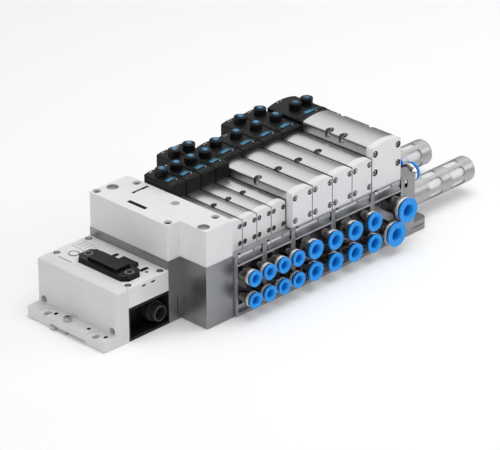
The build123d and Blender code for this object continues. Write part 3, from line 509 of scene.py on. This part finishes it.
BASES = ((-63.6, 38.0), (-25.6, 38.0), (12.4, 54.0), (66.4, 54.0), (120.4, 43.0))

# Places of the screws and holes outside the valves, in millimetres
COVER_SCREWS = ((-107.8, 51.9), (-70.1, 37.7), (-108.1, -43.3), (-70.2, -66.4))
NODE_SCREWS = ((-160.0, -43.9), (-160.0, 51.7), (-120.0, -43.9), (-120.0, 51.7))
CLAMP_SCREW = (-188.2, 7.9)
PORT_FACE_SCREWS = ((136.9, 43.6), (113.1, 42.3), (86.7, 42.4), (33.2, 43.0), (-43.8, 40.7))
PORT_FACE_HOLES = ((100.5, 42.9), (46.6, 42.3), (-0.1, 42.9), (-38.5, 43.6))
PORT_FACE = -76.4
RAIL_FACE = -85.3
NODE_TOP = 54.6

RING_STEPS = 48
BUTTON_STEPS = 32
COLLAR_SETBACK = 1.55


class ISLAND_OT_screws(bpy.types.Operator):
    """Add the screws, with dark plates and linings as painted shade in their sockets and holes"""

    bl_idname = "island.screws"
    bl_label = "Add the screws"

    def execute(self, context):
        heads, caps, linings, sockets = [], [], [], []
        for name, left, _ in ROW:
            self.add_valve_screws(KINDS[name], left, heads, caps, linings, sockets)
        self.add_block_screws(heads, linings, sockets)
        self.add_port_face_screws(heads, linings, sockets)
        piece("screws_bright", gathered(heads), "zinc_plated_steel_and_highlights", replaces=("screws",))
        piece("cap_screws", gathered(caps), "zinc_plated_steel_and_highlights")
        piece("screw_hole_shades", gathered(linings), "painted_shade_lining")
        piece("screw_socket_shades", gathered(sockets), "painted_shade_lining")
        return {"FINISHED"}

    def add_valve_screws(self, kind, left, heads, caps, linings, sockets):
        """Screws in the wells of a valve's body with dark sockets, and its cap's four with a dark wall and rim round
        each: painted shade.
        """
        for inset, y in kind["wells"]:
            floor, height = kind["edge"] - kind["well_depth"], 0.72 * kind["well_depth"]
            heads.append(placed(screw(kind["well_radius"] - 1.1, height), (left + inset, y, floor)))
            sockets.append(placed(hexagon(kind["well_radius"] * 0.38), (left + inset, y, floor + height - 0.25)))
        hole, face = kind["cap_screw_radius"], kind["cap"]
        floor = face + 2.2
        for x in (left + kind["cap_screw_inset"], left + kind["width"] - kind["cap_screw_inset"]):
            for z in kind["cap_screw_rows"]:
                caps.append(placed(screw(hole * 0.78, 1.6, 0.5), (x, floor, z), **FRONT))
                linings.append(placed(tube(hole - 0.02, hole * 0.84, 2.1), (x, floor, z), **FRONT))
                linings.append(placed(tube(hole + 0.35, hole - 0.02, 0.07), (x, face, z), **FRONT))
                sockets.append(placed(hexagon(hole * 0.42), (x, floor - 1.35, z), **FRONT))

    def add_block_screws(self, heads, linings, sockets):
        """Screws of the adapter cover, the node, the left end plate and the rail clamp, with painted shade: dark
        sockets, dark rings round the node's screws and dark walls in the pin holes.
        """
        for x, y in COVER_SCREWS:
            heads.append(placed(screw(3.5, 1.8, 0.6), (x, y, 96.3)))
            sockets.append(placed(hexagon(2.1), (x, y, 97.85)))
        for x, y in NODE_SCREWS:
            heads.append(placed(screw(2.3, 1.7, 0.4), (x, y, 52.8)))
            linings.append(placed(tube(3.28, 2.7, 1.7), (x, y, 52.8)))
        for y in (-42.2, 50.0):
            heads.append(placed(screw(2.7, 2.4, 0.5), (-174.5, y, 14.2), **LEFT))
        for y in (-40.9, -17.9, 25.9):
            linings.append(placed(tube(1.98, 1.7, 10.0), (-186.1, y, 0.3)))
        heads.append(placed(screw(4.2, 4.2, 0.5), (*CLAMP_SCREW, 10.5)))
        heads.append(placed(turned([(2.5, 0.2), (2.5, 10.4)]), (*CLAMP_SCREW, 0.0)))

    def add_port_face_screws(self, heads, linings, sockets):
        """Socket screws with dark rings and sockets, and flat dark discs for plain holes, between the fittings on the
        recessed fronts of the sub-bases: painted shade.
        """
        for x, z in PORT_FACE_SCREWS:
            heads.append(placed(screw(2.3, 0.9, 0.5), (x, PORT_FACE, z), **FRONT))
            linings.append(placed(tube(2.9, 2.35, 0.2), (x, PORT_FACE, z), **FRONT))
            sockets.append(placed(hexagon(1.1), (x, PORT_FACE - 0.4, z), **FRONT))
        for x, z in PORT_FACE_HOLES:
            sockets.append(placed(turned([(1.9, -0.1), (1.9, 0.12)], 24), (x, PORT_FACE, z), **FRONT))


class ISLAND_OT_rings(bpy.types.Operator):
    """Add the blue release rings with their rounded flanges, and the chrome collars behind them"""

    bl_idname = "island.rings"
    bl_label = "Add the release rings"

    def execute(self, context):
        collars = []
        for number, (name, left, _) in enumerate(ROW, start=1):
            kind = KINDS[name]
            for level, (offset, z) in zip(("lower", "upper"), kind["ports"]):
                place = (left + kind["width"] / 2 + offset, kind["ring_back"], z)
                names = f"release_ring_{number}_{level}", f"ring_{number}_{level}"
                collars.append(self.add_port(kind, place, FRONT, *names))
        for side, name, y, z in (("rear", "narrow", -46.6, 56.2), ("front", "medium", -66.6, 54.4)):
            names = f"supply_release_ring_{side}", f"supply_ring_{side}"
            collars.append(self.add_port(KINDS[name], (196.2, y, z), RIGHT, *names))
        piece("collar_bands", gathered(collars), "chrome_plating")
        return {"FINISHED"}

    def add_port(self, kind, place, facing, node, body):
        """Add a moulded ring for a CAD one, marked from 0 on its face to 1 in its bore; give its collar's shape."""
        shape = placed(self.ring(kind), place, **facing)
        made = piece(f"{node}_moulded", shape, "blue_acetal", body=body, replaces=(node,))
        mark(made, "depth", np.repeat([1.0, 1.0, 1.0, 0.9, 0.1] + [0.0] * 7 + [0.5, 0.8, 1.0], RING_STEPS))
        behind = np.array(place) - COLLAR_SETBACK * np.array(facing["normal"])
        return placed(self.collar(kind), behind, **facing)

    def ring(self, kind):
        """Flange with a raised rim and a funnelled mouth, and the sleeve behind it, from its back face outwards."""
        bore, rim, sleeve = kind["bore"], kind["ring"], kind["bore"] + 1.2
        profile = [
            (bore, -8.0), (bore, 0.9), (bore + 0.4, 1.5), (bore + 0.9, 1.9), (bore + 1.0, 2.05), (rim - 1.3, 2.1),
            (rim - 0.9, 2.2), (rim - 0.45, 2.2), (rim - 0.12, 2.05), (rim, 1.7), (rim, 0.5), (rim - 0.15, 0.12),
            (rim - 0.5, 0.0), (sleeve, 0.0), (sleeve, -8.0),
        ]
        return ring_shell([loop(radius, height, RING_STEPS) for radius, height in profile])

    def collar(self, kind):
        """Rolled band round the fitting's mouth: a thin ring with a rounded front, from its face backwards."""
        reach = kind["collar_radius"] + 0.25
        profile = [
            (reach - 1.5, 0.0), (reach - 0.8, 0.02), (reach - 0.25, -0.1), (reach, -0.4), (reach, -2.9),
            (reach - 0.25, -3.15), (reach - 0.6, -3.15), (reach - 0.6, -0.5), (reach - 1.5, -0.3),
        ]
        return ring_shell([loop(radius, height, RING_STEPS) for radius, height in profile])


class ISLAND_OT_buttons(bpy.types.Operator):
    """Add the domed override buttons and the notched collars round them"""

    bl_idname = "island.buttons"
    bl_label = "Add the override buttons"

    def execute(self, context):
        # Per profile row: 0 takes the crown's painted highlight, 1 the edge's painted shade
        rims = np.array([1.0, 1.0, 1.0, 1.0, 0.85, 0.3, 0.0, 0.0])
        collars = []
        for number, (name, left, coils) in enumerate(ROW, start=1):
            kind = KINDS[name]
            top, crown = kind["collar"], kind["head_edge"] + kind["head_rise"]
            # The wide valve's domes take mostly the edge's colour: painted shade over the whole dome
            least = 0.75 if name == "wide" else 0.0
            for side, (offset, y) in zip(kind["sides"], kind["buttons"][:coils]):
                x = left + kind["width"] / 2 + offset
                collars.append(placed(self.collar(top - crown), (x, y, crown)))
                node, body = f"override_button_{number}_{side}", f"button_{number}_{side}"
                shape = placed(self.button(), (x, y, top))
                made = piece(f"{node}_domed", shape, "button_polycarbonate", body=body, replaces=(node,))
                mark(made, "rim", np.repeat(np.maximum(rims, least), BUTTON_STEPS))
        piece("button_collars", gathered(collars), "black_polyester")
        return {"FINISHED"}

    def button(self):
        """Dome with a rounded edge over a straight shank; heights run from the collar's top."""
        profile = [(4.0, -5.0), (4.0, 0.2), (3.9, 0.6), (3.55, 1.0), (3.0, 1.3), (2.2, 1.58), (1.2, 1.74), (0.3, 1.79)]
        return turned(profile, BUTTON_STEPS)

    def collar(self, height):
        """Sleeve round the CAD collar, with eight shallow notches and a rounded lip: (radius, height, notch depth)."""
        rows = [
            (5.95, -0.6, 0.03), (5.95, height - 2.2, 0.03), (6.25, height - 1.4, 0.02), (6.35, height - 0.4, 0.0),
            (6.1, height + 0.1, 0.0), (5.3, height + 0.15, 0.0), (4.6, height - 0.2, 0.0), (4.45, height - 0.8, 0.0),
        ]
        return ring_shell([loop(radius, z, RING_STEPS, 8, depth) for radius, z, depth in rows])


def head_top(kind, offset):
    """Height of a pilot head's arched top off its middle: a circle through both edges and the crown."""
    rise = kind["head_rise"]
    radius = (kind["width"] ** 2 / 4 + rise**2) / (2 * rise)
    return kind["head_edge"] + rise - radius + sqrt(radius**2 - offset**2)


class ISLAND_OT_heads(bpy.types.Operator):
    """Add the ribs, label films and marks of the pilot heads"""

    bl_idname = "island.heads"
    bl_label = "Add the pilot heads' details"

    def execute(self, context):
        self.add_film_material(context.scene.island_colours.film)
        ribs, films, marks = [], [], []
        for name, left, coils in ROW:
            kind = KINDS[name]
            if kind["head_edge"] - kind["edge"] > 3.0:
                low = kind["edge"] + kind["rise"] + 0.3
                ribs.append(self.rib_panel(left, kind, low, kind["head_edge"] + kind["head_rise"] - 2.6))
            films.append(self.film(left, kind))
            marks += self.marks(left + kind["width"] / 2, kind, kind["head"] + kind["lengths"][coils - 1])
        piece("head_ribs", gathered(ribs), "black_polyester")
        piece("head_marks", gathered(marks), "white_print")
        self.note_place(piece("label_films", gathered(films), "printed_film"))
        return {"FINISHED"}

    def rib_panel(self, left, kind, low, high):
        """Upright panel in front of the head whose face is a cosine wave along the row."""
        margin, pitch = 0.8, 1.5
        x = np.linspace(left + margin, left + kind["width"] - margin, 121)
        wave = 0.12 + 0.13 * np.cos((x - x[0]) * 2 * pi / pitch)
        front = np.stack([x, kind["head"] - wave], axis=1)
        back = np.array([(x[-1], kind["head"] + 0.1), (x[0], kind["head"] + 0.1)])
        outline = np.concatenate([front, back])
        return shell([np.column_stack([outline, np.full(len(outline), z)]) for z in (low, high)])

    def film(self, left, kind):
        """Thin arched strip over the window: rounded sections carried along the arch."""
        reach, y = kind["film"]
        middle = left + kind["width"] / 2
        section = rounded_loop(4.8, 0.2, 0.08, steps=4)
        loops = []
        for x in np.linspace(-reach, reach, 25):
            top = head_top(kind, x) + 0.78
            loops.append(np.stack([np.full(len(section), middle + x), y + section[:, 0], top + section[:, 1]], axis=1))
        return shell(loops)

    def marks(self, middle, kind, back):
        """Two plain printed marks near the head's back edge, and the round light beside its film."""
        shapes = []
        for share in (-3.6, -1.6):
            x = share * kind["width"] / 18
            shapes.append(placed(plate(1.1, 1.5, 0.2, 0.1, 0.04), (middle + x, back - 2.2, head_top(kind, x) - 0.02)))
        reach, y = kind["film"]
        x = reach * 0.55
        light = turned([(0.7, 0.0), (0.7, 0.12), (0.4, 0.3)], 16)
        return [*shapes, placed(light, (middle + x, y - 3.0, head_top(kind, x)))]

    def note_place(self, made):
        """Store how far each point lies along its own film, from 0 on the left to 1."""
        points = np.zeros(len(made.data.vertices) * 3)
        made.data.vertices.foreach_get("co", points)
        x = points.reshape(-1, 3)[:, 0] / MM
        along = np.zeros(len(x))
        for name, left, _ in ROW:
            width, reach = KINDS[name]["width"], KINDS[name]["film"][0]
            inside = (x > left) & (x < left + width)
            along[inside] = (x[inside] - (left + width / 2 - reach)) / (2 * reach)
        mark(made, "along", along)

    def add_film_material(self, colour):
        """Glossy printed film: a painted highlight towards the left, painted shade at the right, with uneven print."""
        material, tree = empty_material("printed_film")
        along = add_node(tree, "ShaderNodeAttribute", attribute_name="along")
        place = add_node(tree, "ShaderNodeTexCoord")
        print_noise = add_node(
            tree, "ShaderNodeTexNoise", links={"Vector": place.outputs["Object"]},
            values={"Scale": 1 / (2.2 * MM), "Detail": 1.0},
        )
        uneven = add_node(
            tree, "ShaderNodeMath", operation="MULTIPLY_ADD",
            links={0: print_noise.outputs["Fac"], 2: along.outputs["Fac"]}, values={1: 0.35},
        )
        # Steps along the film: a painted highlight on the left, painted shade on the right
        painted_light_steps = ((0.1, 0.5), (0.3, 1.1), (0.65, 0.9), (0.85, 0.4), (1.0, 0.15))
        ramp = add_node(
            tree, "ShaderNodeValToRGB", links={"Fac": uneven.outputs[0]},
            stops=[(position, toned(colour, factor)) for position, factor in painted_light_steps],
        )
        shader = add_node(
            tree, "ShaderNodeBsdfPrincipled", links={"Base Color": ramp.outputs["Color"]},
            values={"Roughness": 0.3, "Coat Weight": 0.15, "Coat Roughness": 0.08},
        )
        close_material(tree, shader)


class ISLAND_OT_gaps(bpy.types.Operator):
    """Add dark strips in the gaps between the valves: painted shade in the seams"""

    bl_idname = "island.gaps"
    bl_label = "Add the gaskets between the valves"

    def execute(self, context):
        clearance, strips = 0.08, []
        for (name, left, _), (after, right, _) in zip(ROW, ROW[1:]):
            kind, other = KINDS[name], KINDS[after]
            front = max(kind["cap"], other["cap"]) + 0.3
            low = max(kind["cap_bottom"], other["cap_bottom"]) + 0.3
            high = min(kind["edge"], other["edge"]) - 0.2
            # Each strip is painted shade deep in the seam between two valves
            strips.append(block((left + kind["width"] + clearance, front, low), (right - clearance, 0.0, high)))
        piece("valve_seam_shades", gathered(strips), "painted_shade_lining")
        return {"FINISHED"}


class ISLAND_OT_cover(bpy.types.Operator):
    """Add dark linings as painted shade in the adapter cover's slots, grey cups as painted shade in its plain recesses,
    a grey disc, and the clip in the cross slot
    """

    bl_idname = "island.cover"
    bl_label = "Line the adapter cover's slots"

    def execute(self, context):
        long_slot, cross_slot = (-102.1, 3.3), (-77.9, 24.9)
        linings = [
            placed(tray(2.94, 22.94, 0.6, 2.75), (*long_slot, 96.52)),
            placed(tray(20.44, 3.14, 0.6, 2.75), (*cross_slot, 96.52)),
            placed(plate(4.4, 23.6, 0.5, 0.12, 0.05), (*long_slot, 99.48)),
        ]
        piece("slot_shades", gathered(linings), "painted_shade_lining")
        # Grey cups in the plain recesses: painted shade on their floors and walls
        cup = turned([(5.74, 0.02), (5.74, 2.7), (5.5, 2.7), (5.4, 0.35)], 48)
        disc = turned([(4.2, 0.02), (4.2, 0.15), (4.1, 0.25)], 48)
        floors = [
            placed(cup, (-91.8, 47.6, 96.5)), placed(cup, (-92.2, -73.6, 96.5)), placed(disc, (-75.7, -19.5, 99.1)),
            placed(plate(8.5, 2.2, 0.4, 2.2, 0.3), (-79.6, 24.9, 96.6)),
        ]
        piece("recess_shade_and_grey_parts", gathered(floors), "grey_paint_and_shade")
        return {"FINISHED"}


class ISLAND_OT_node(bpy.types.Operator):
    """Add the bus node's light windows, a dark ring and groove line as painted shade, the plain label with its printed
    lines, and bright rings as painted highlights on its cover's lugs
    """

    bl_idname = "island.node"
    bl_label = "Add the bus node's details"

    def execute(self, context):
        windows = [placed(plate(9.9, 3.9, 0.3, 1.5, 0.3), (-128.2, y, NODE_TOP - 0.98)) for y in (-31.4, 8.4)]
        pin = turned([(1.75, 0.0), (1.75, 2.7), (1.2, 3.0), (0.4, 3.15)], 24)
        windows.append(placed(pin, (-129.9, -36.7, NODE_TOP - 3.0)))
        windows += [block((x - 2.3, -48.8, 49.7), (x + 2.3, -47.6, 51.4)) for x in (-133.2, -144.8)]
        piece("light_windows", gathered(windows), "smoked_polycarbonate")

        # Dark ring round the disc and a dark groove line: painted shade
        rim = placed(tube(5.15, 4.5, 0.3, 48), (-151.0, 38.2, NODE_TOP + 0.45))
        groove = block((-164.6, 27.5, NODE_TOP - 0.6), (-163.9, 44.5, NODE_TOP + 0.12))
        piece("node_shade_lines", gathered([rim, groove]), "painted_shade_lining")

        low, high = NODE_TOP + 0.2, NODE_TOP + 0.3
        stripes = [
            block((-138.0, y, low), (stop, y + 0.8, high))
            for y, stop in ((33.5, -127.0), (38.0, -125.5), (43.0, -127.0), (48.0, -125.5))
        ]
        stripes.append(block((-140.4, 31.0, NODE_TOP - 0.02), (-139.9, 52.0, NODE_TOP + 0.26)))
        piece("label_print", gathered(stripes), "grey_paint_and_shade")
        label = placed(plate(15.0, 22.0, 1.5, 0.25, 0.1), (-132.5, 41.5, NODE_TOP))
        piece("node_label", label, "white_coating")

        # Bright steel rings round the cover's clear lugs: painted highlights
        rims = [
            placed(tube(radius, radius - 0.5, 0.5), (-147.75, y, NODE_TOP + 5.0))
            for y in (-33.2, 21.8) for radius in (3.4, 4.4)
        ]
        piece("cover_lug_highlights", gathered(rims), "zinc_plated_steel_and_highlights")
        return {"FINISHED"}


class ISLAND_OT_rails(bpy.types.Operator):
    """Add the lips and clips on the fronts of the sub-bases, near-white strips along their rails as painted highlights,
    dark blocks as painted shade, and the right plate's notch with a near-white plate and painted shade inside
    """

    bl_idname = "island.rails"
    bl_label = "Add the label strips"

    def execute(self, context):
        lips, bright, dark = [], [], []
        for left, width in BASES:
            right = left + width
            start, stop = left + 3.1, right - 3.1
            half = start + (stop - start) * 0.6
            lips.append(block((left + 0.1, -85.38, 61.5), (right - 0.1, -84.7, 64.3)))
            # Clip at the left end; then painted highlights in near-white: the strip in two lengths, and the lower edge
            # of the rail
            bright.append(placed(plate(3.0, 2.6, 0.5, 0.6, 0.2), (start + 1.7, -85.4, 61.7), **FRONT))
            bright.append(block((start + 4.0, -85.75, 61.3), (half, RAIL_FACE, 62.6)))
            bright.append(block((half + 1.4, -85.6, 62.2), (stop - 2.4, RAIL_FACE, 62.6)))
            bright.append(block((left + 2.9, -85.6, 52.1), (right - 2.9, RAIL_FACE, 52.6)))
            # Painted shade: the shadow over the clip, the break in the strip, and the gaps at the rail's two ends
            dark.append(block((start + 0.3, -85.7, 63.3), (start + 3.1, -84.6, 64.4)))
            dark.append(block((half, -85.8, 61.0), (half + 1.2, RAIL_FACE, 62.9)))
            dark.append(block((stop - 1.1, -85.55, 55.7), (stop + 0.3, -84.75, 63.6)))
            dark.append(block((start + 0.05, -84.95, 53.5), (start + 1.6, -84.75, 59.3)))
        notch = 167.8
        # Near-white plate in the top of the right plate's notch, and a dark tray inside it as painted shade
        bright.append(placed(plate(3.2, 3.4, 0.5, 1.6, 0.4), (notch, -83.4, 58.9), **FRONT))
        dark.append(placed(tray(3.94, 7.94, 0.1, 3.8), (notch, -81.5, 57.0), **FRONT))
        piece("rail_lips", gathered(lips), "milled_aluminium")
        piece("label_clips_and_highlights", gathered(bright), "light_polyamide_and_highlights")
        piece("label_rail_shades", gathered(dark), "painted_shade_lining")
        return {"FINISHED"}


# Studio

class ISLAND_OT_studio(bpy.types.Operator):
    """Add the floor, the soft light and the camera"""

    bl_idname = "island.studio"
    bl_label = "Build the studio"

    def execute(self, context):
        scene, stage = context.scene, context.scene.stage_settings
        scene.view_settings.view_transform = "Standard"
        self.add_floor()
        self.add_world(scene, stage.sky_level)
        self.add_lamp("lamp_key", (0.25, -0.25, 1.9), (1.6, 1.6), stage.key_power)
        self.add_lamp("lamp_right", (1.9, -1.3, 0.9), (1.2, 0.9), stage.side_power)
        self.add_lamp("lamp_left", (-2.1, -0.5, 0.8), (1.2, 0.9), stage.left_power)
        self.add_camera(scene, stage)
        return {"FINISHED"}

    def add_floor(self):
        """Flat disc under the island, white where the light is full and dark in far reflections, as with flags."""
        radius, height, steps = 4.0, -0.0004, 64
        mesh = bpy.data.meshes.new("floor")
        mesh.from_pydata(loop(radius, height, steps).tolist(), [], [list(range(steps))])
        floor = bpy.data.objects.new("floor", mesh)
        bpy.context.scene.collection.objects.link(floor)
        material, tree = empty_material("studio_floor")
        place = add_node(tree, "ShaderNodeTexCoord")
        reach = add_node(tree, "ShaderNodeVectorMath", operation="LENGTH", links={0: place.outputs["Object"]})
        far = add_node(
            tree, "ShaderNodeMapRange", links={"Value": reach.outputs["Value"]},
            values={"From Min": 0.5, "From Max": 0.9},
        )
        path = add_node(tree, "ShaderNodeLightPath")
        flagged = add_node(
            tree, "ShaderNodeMath", operation="MULTIPLY",
            links={0: far.outputs["Result"], 1: path.outputs["Is Glossy Ray"]},
        )
        tone = add_node(
            tree, "ShaderNodeValToRGB", links={"Fac": flagged.outputs[0]}, stops=((0.0, grey(0.96)), (1.0, grey(0.12)))
        )
        lift = add_node(
            tree, "ShaderNodeMath", operation="MULTIPLY", links={0: path.outputs["Is Camera Ray"]}, values={1: 0.11}
        )
        shader = add_node(
            tree, "ShaderNodeBsdfPrincipled",
            links={"Base Color": tone.outputs["Color"], "Emission Strength": lift.outputs[0]},
            values={"Roughness": 0.9, "Specular IOR Level": 0.1, "Emission Color": grey(1.0)},
        )
        close_material(tree, shader)
        mesh.materials.append(material)

    def add_world(self, scene, level):
        """Even light: white for the camera, and for glossy surfaces dark at the horizon, the left and the front."""
        world = bpy.data.worlds.new("studio")
        world.use_nodes = True
        tree = world.node_tree
        tree.nodes.clear()
        path = add_node(tree, "ShaderNodeLightPath")
        way = add_node(tree, "ShaderNodeTexCoord")
        heading = add_node(tree, "ShaderNodeSeparateXYZ", links={"Vector": way.outputs["Generated"]})
        glow = add_node(
            tree, "ShaderNodeValToRGB", links={"Fac": heading.outputs["Z"]},
            stops=((0.08, grey(0.1)), (0.3, grey(0.3)), (0.45, grey(0.85)), (0.75, grey(1.0))),
        )
        across, along = [
            add_node(
                tree, "ShaderNodeMapRange", links={"Value": heading.outputs[axis]},
                values={"From Min": dark, "From Max": full, "To Min": 0.25, "To Max": 1.0},
            )
            for axis, dark, full in (("X", -0.6, -0.05), ("Y", -0.5, 0.1))
        ]
        sides = add_node(
            tree, "ShaderNodeMath", operation="MULTIPLY", links={0: across.outputs[0], 1: along.outputs[0]}
        )
        shaped = add_node(
            tree, "ShaderNodeMath", operation="MULTIPLY", links={0: sides.outputs[0], 1: glow.outputs["Color"]}
        )
        glossy = add_node(
            tree, "ShaderNodeMix", data_type="FLOAT", values={2: level},
            links={0: path.outputs["Is Glossy Ray"], 3: shaped.outputs[0]},
        )
        seen = add_node(
            tree, "ShaderNodeMix", data_type="FLOAT", values={3: 1.0},
            links={0: path.outputs["Is Camera Ray"], 2: glossy.outputs[0]},
        )
        background = add_node(
            tree, "ShaderNodeBackground", links={"Strength": seen.outputs[0]}, values={"Color": grey(1.0)}
        )
        add_node(tree, "ShaderNodeOutputWorld", links={"Surface": background.outputs[0]})
        scene.world = world

    def add_lamp(self, name, place, size, power):
        """Rectangular lamp that faces the middle of the island."""
        aim = Vector((0.0, 0.0, 0.05))
        lamp = bpy.data.lights.new(name, "AREA")
        lamp.shape = "RECTANGLE"
        lamp.size, lamp.size_y = size
        lamp.energy = power
        holder = bpy.data.objects.new(name, lamp)
        holder.location = place
        holder.rotation_euler = (aim - Vector(place)).to_track_quat("-Z", "Y").to_euler()
        bpy.context.scene.collection.objects.link(holder)

    def add_camera(self, scene, stage):
        """Camera at the viewing angle, turned by the roll, shifted sideways in its own plane."""
        bearing, height, roll = stage.azimuth, stage.elevation, stage.roll
        back = Vector((sin(bearing) * cos(height), -cos(bearing) * cos(height), sin(height)))
        level = (-back).cross(Vector((0, 0, 1))).normalized()
        rise = level.cross(-back)
        right = level * cos(roll) + rise * sin(roll)
        up = rise * cos(roll) - level * sin(roll)
        aim = Vector((-13.6, -29.6, 50.0)) * MM
        lens = bpy.data.cameras.new("camera")
        lens.lens = stage.lens
        lens.sensor_width = 36.0
        camera = bpy.data.objects.new("camera", lens)
        place = aim + back * stage.distance + right * 17.48 * MM + up * 7.55 * MM
        camera.matrix_world = Matrix.Translation(place) @ Matrix((right, up, back)).transposed().to_4x4()
        scene.collection.objects.link(camera)
        scene.camera = camera


class ISLAND_PT_panel(bpy.types.Panel):
    """Sidebar panel with the island's settings and pieces"""

    bl_label = "Valve Island"
    bl_idname = "ISLAND_PT_panel"
    bl_space_type = "VIEW_3D"
    bl_region_type = "UI"
    bl_category = "Valve Island"

    def draw(self, context):
        for group in (context.scene.island_colours, context.scene.stage_settings):
            for name in group.__annotations__:
                self.layout.prop(group, name)
        for operator in PIECES:
            self.layout.operator(operator.bl_idname)


PIECES = (
    ISLAND_OT_finishes, ISLAND_OT_screws, ISLAND_OT_rings, ISLAND_OT_buttons, ISLAND_OT_heads, ISLAND_OT_gaps,
    ISLAND_OT_cover, ISLAND_OT_node, ISLAND_OT_rails, ISLAND_OT_studio,
)
CLASSES = (IslandColours, StageSettings, *PIECES, ISLAND_PT_panel)


def register():
    """Register the classes and hang both groups of settings on the scene."""
    for item in CLASSES:
        bpy.utils.register_class(item)
    bpy.types.Scene.island_colours = bpy.props.PointerProperty(type=IslandColours)
    bpy.types.Scene.stage_settings = bpy.props.PointerProperty(type=StageSettings)


def unregister():
    """Undo what register does, in reverse."""
    del bpy.types.Scene.stage_settings
    del bpy.types.Scene.island_colours
    for item in reversed(CLASSES):
        bpy.utils.unregister_class(item)


def main():
    """Register the add-on and make every piece in order."""
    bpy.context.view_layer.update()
    register()
    for operator in PIECES:
        group, name = operator.bl_idname.split(".")
        getattr(getattr(bpy.ops, group), name)()


if __name__ == "__main__":
    main()
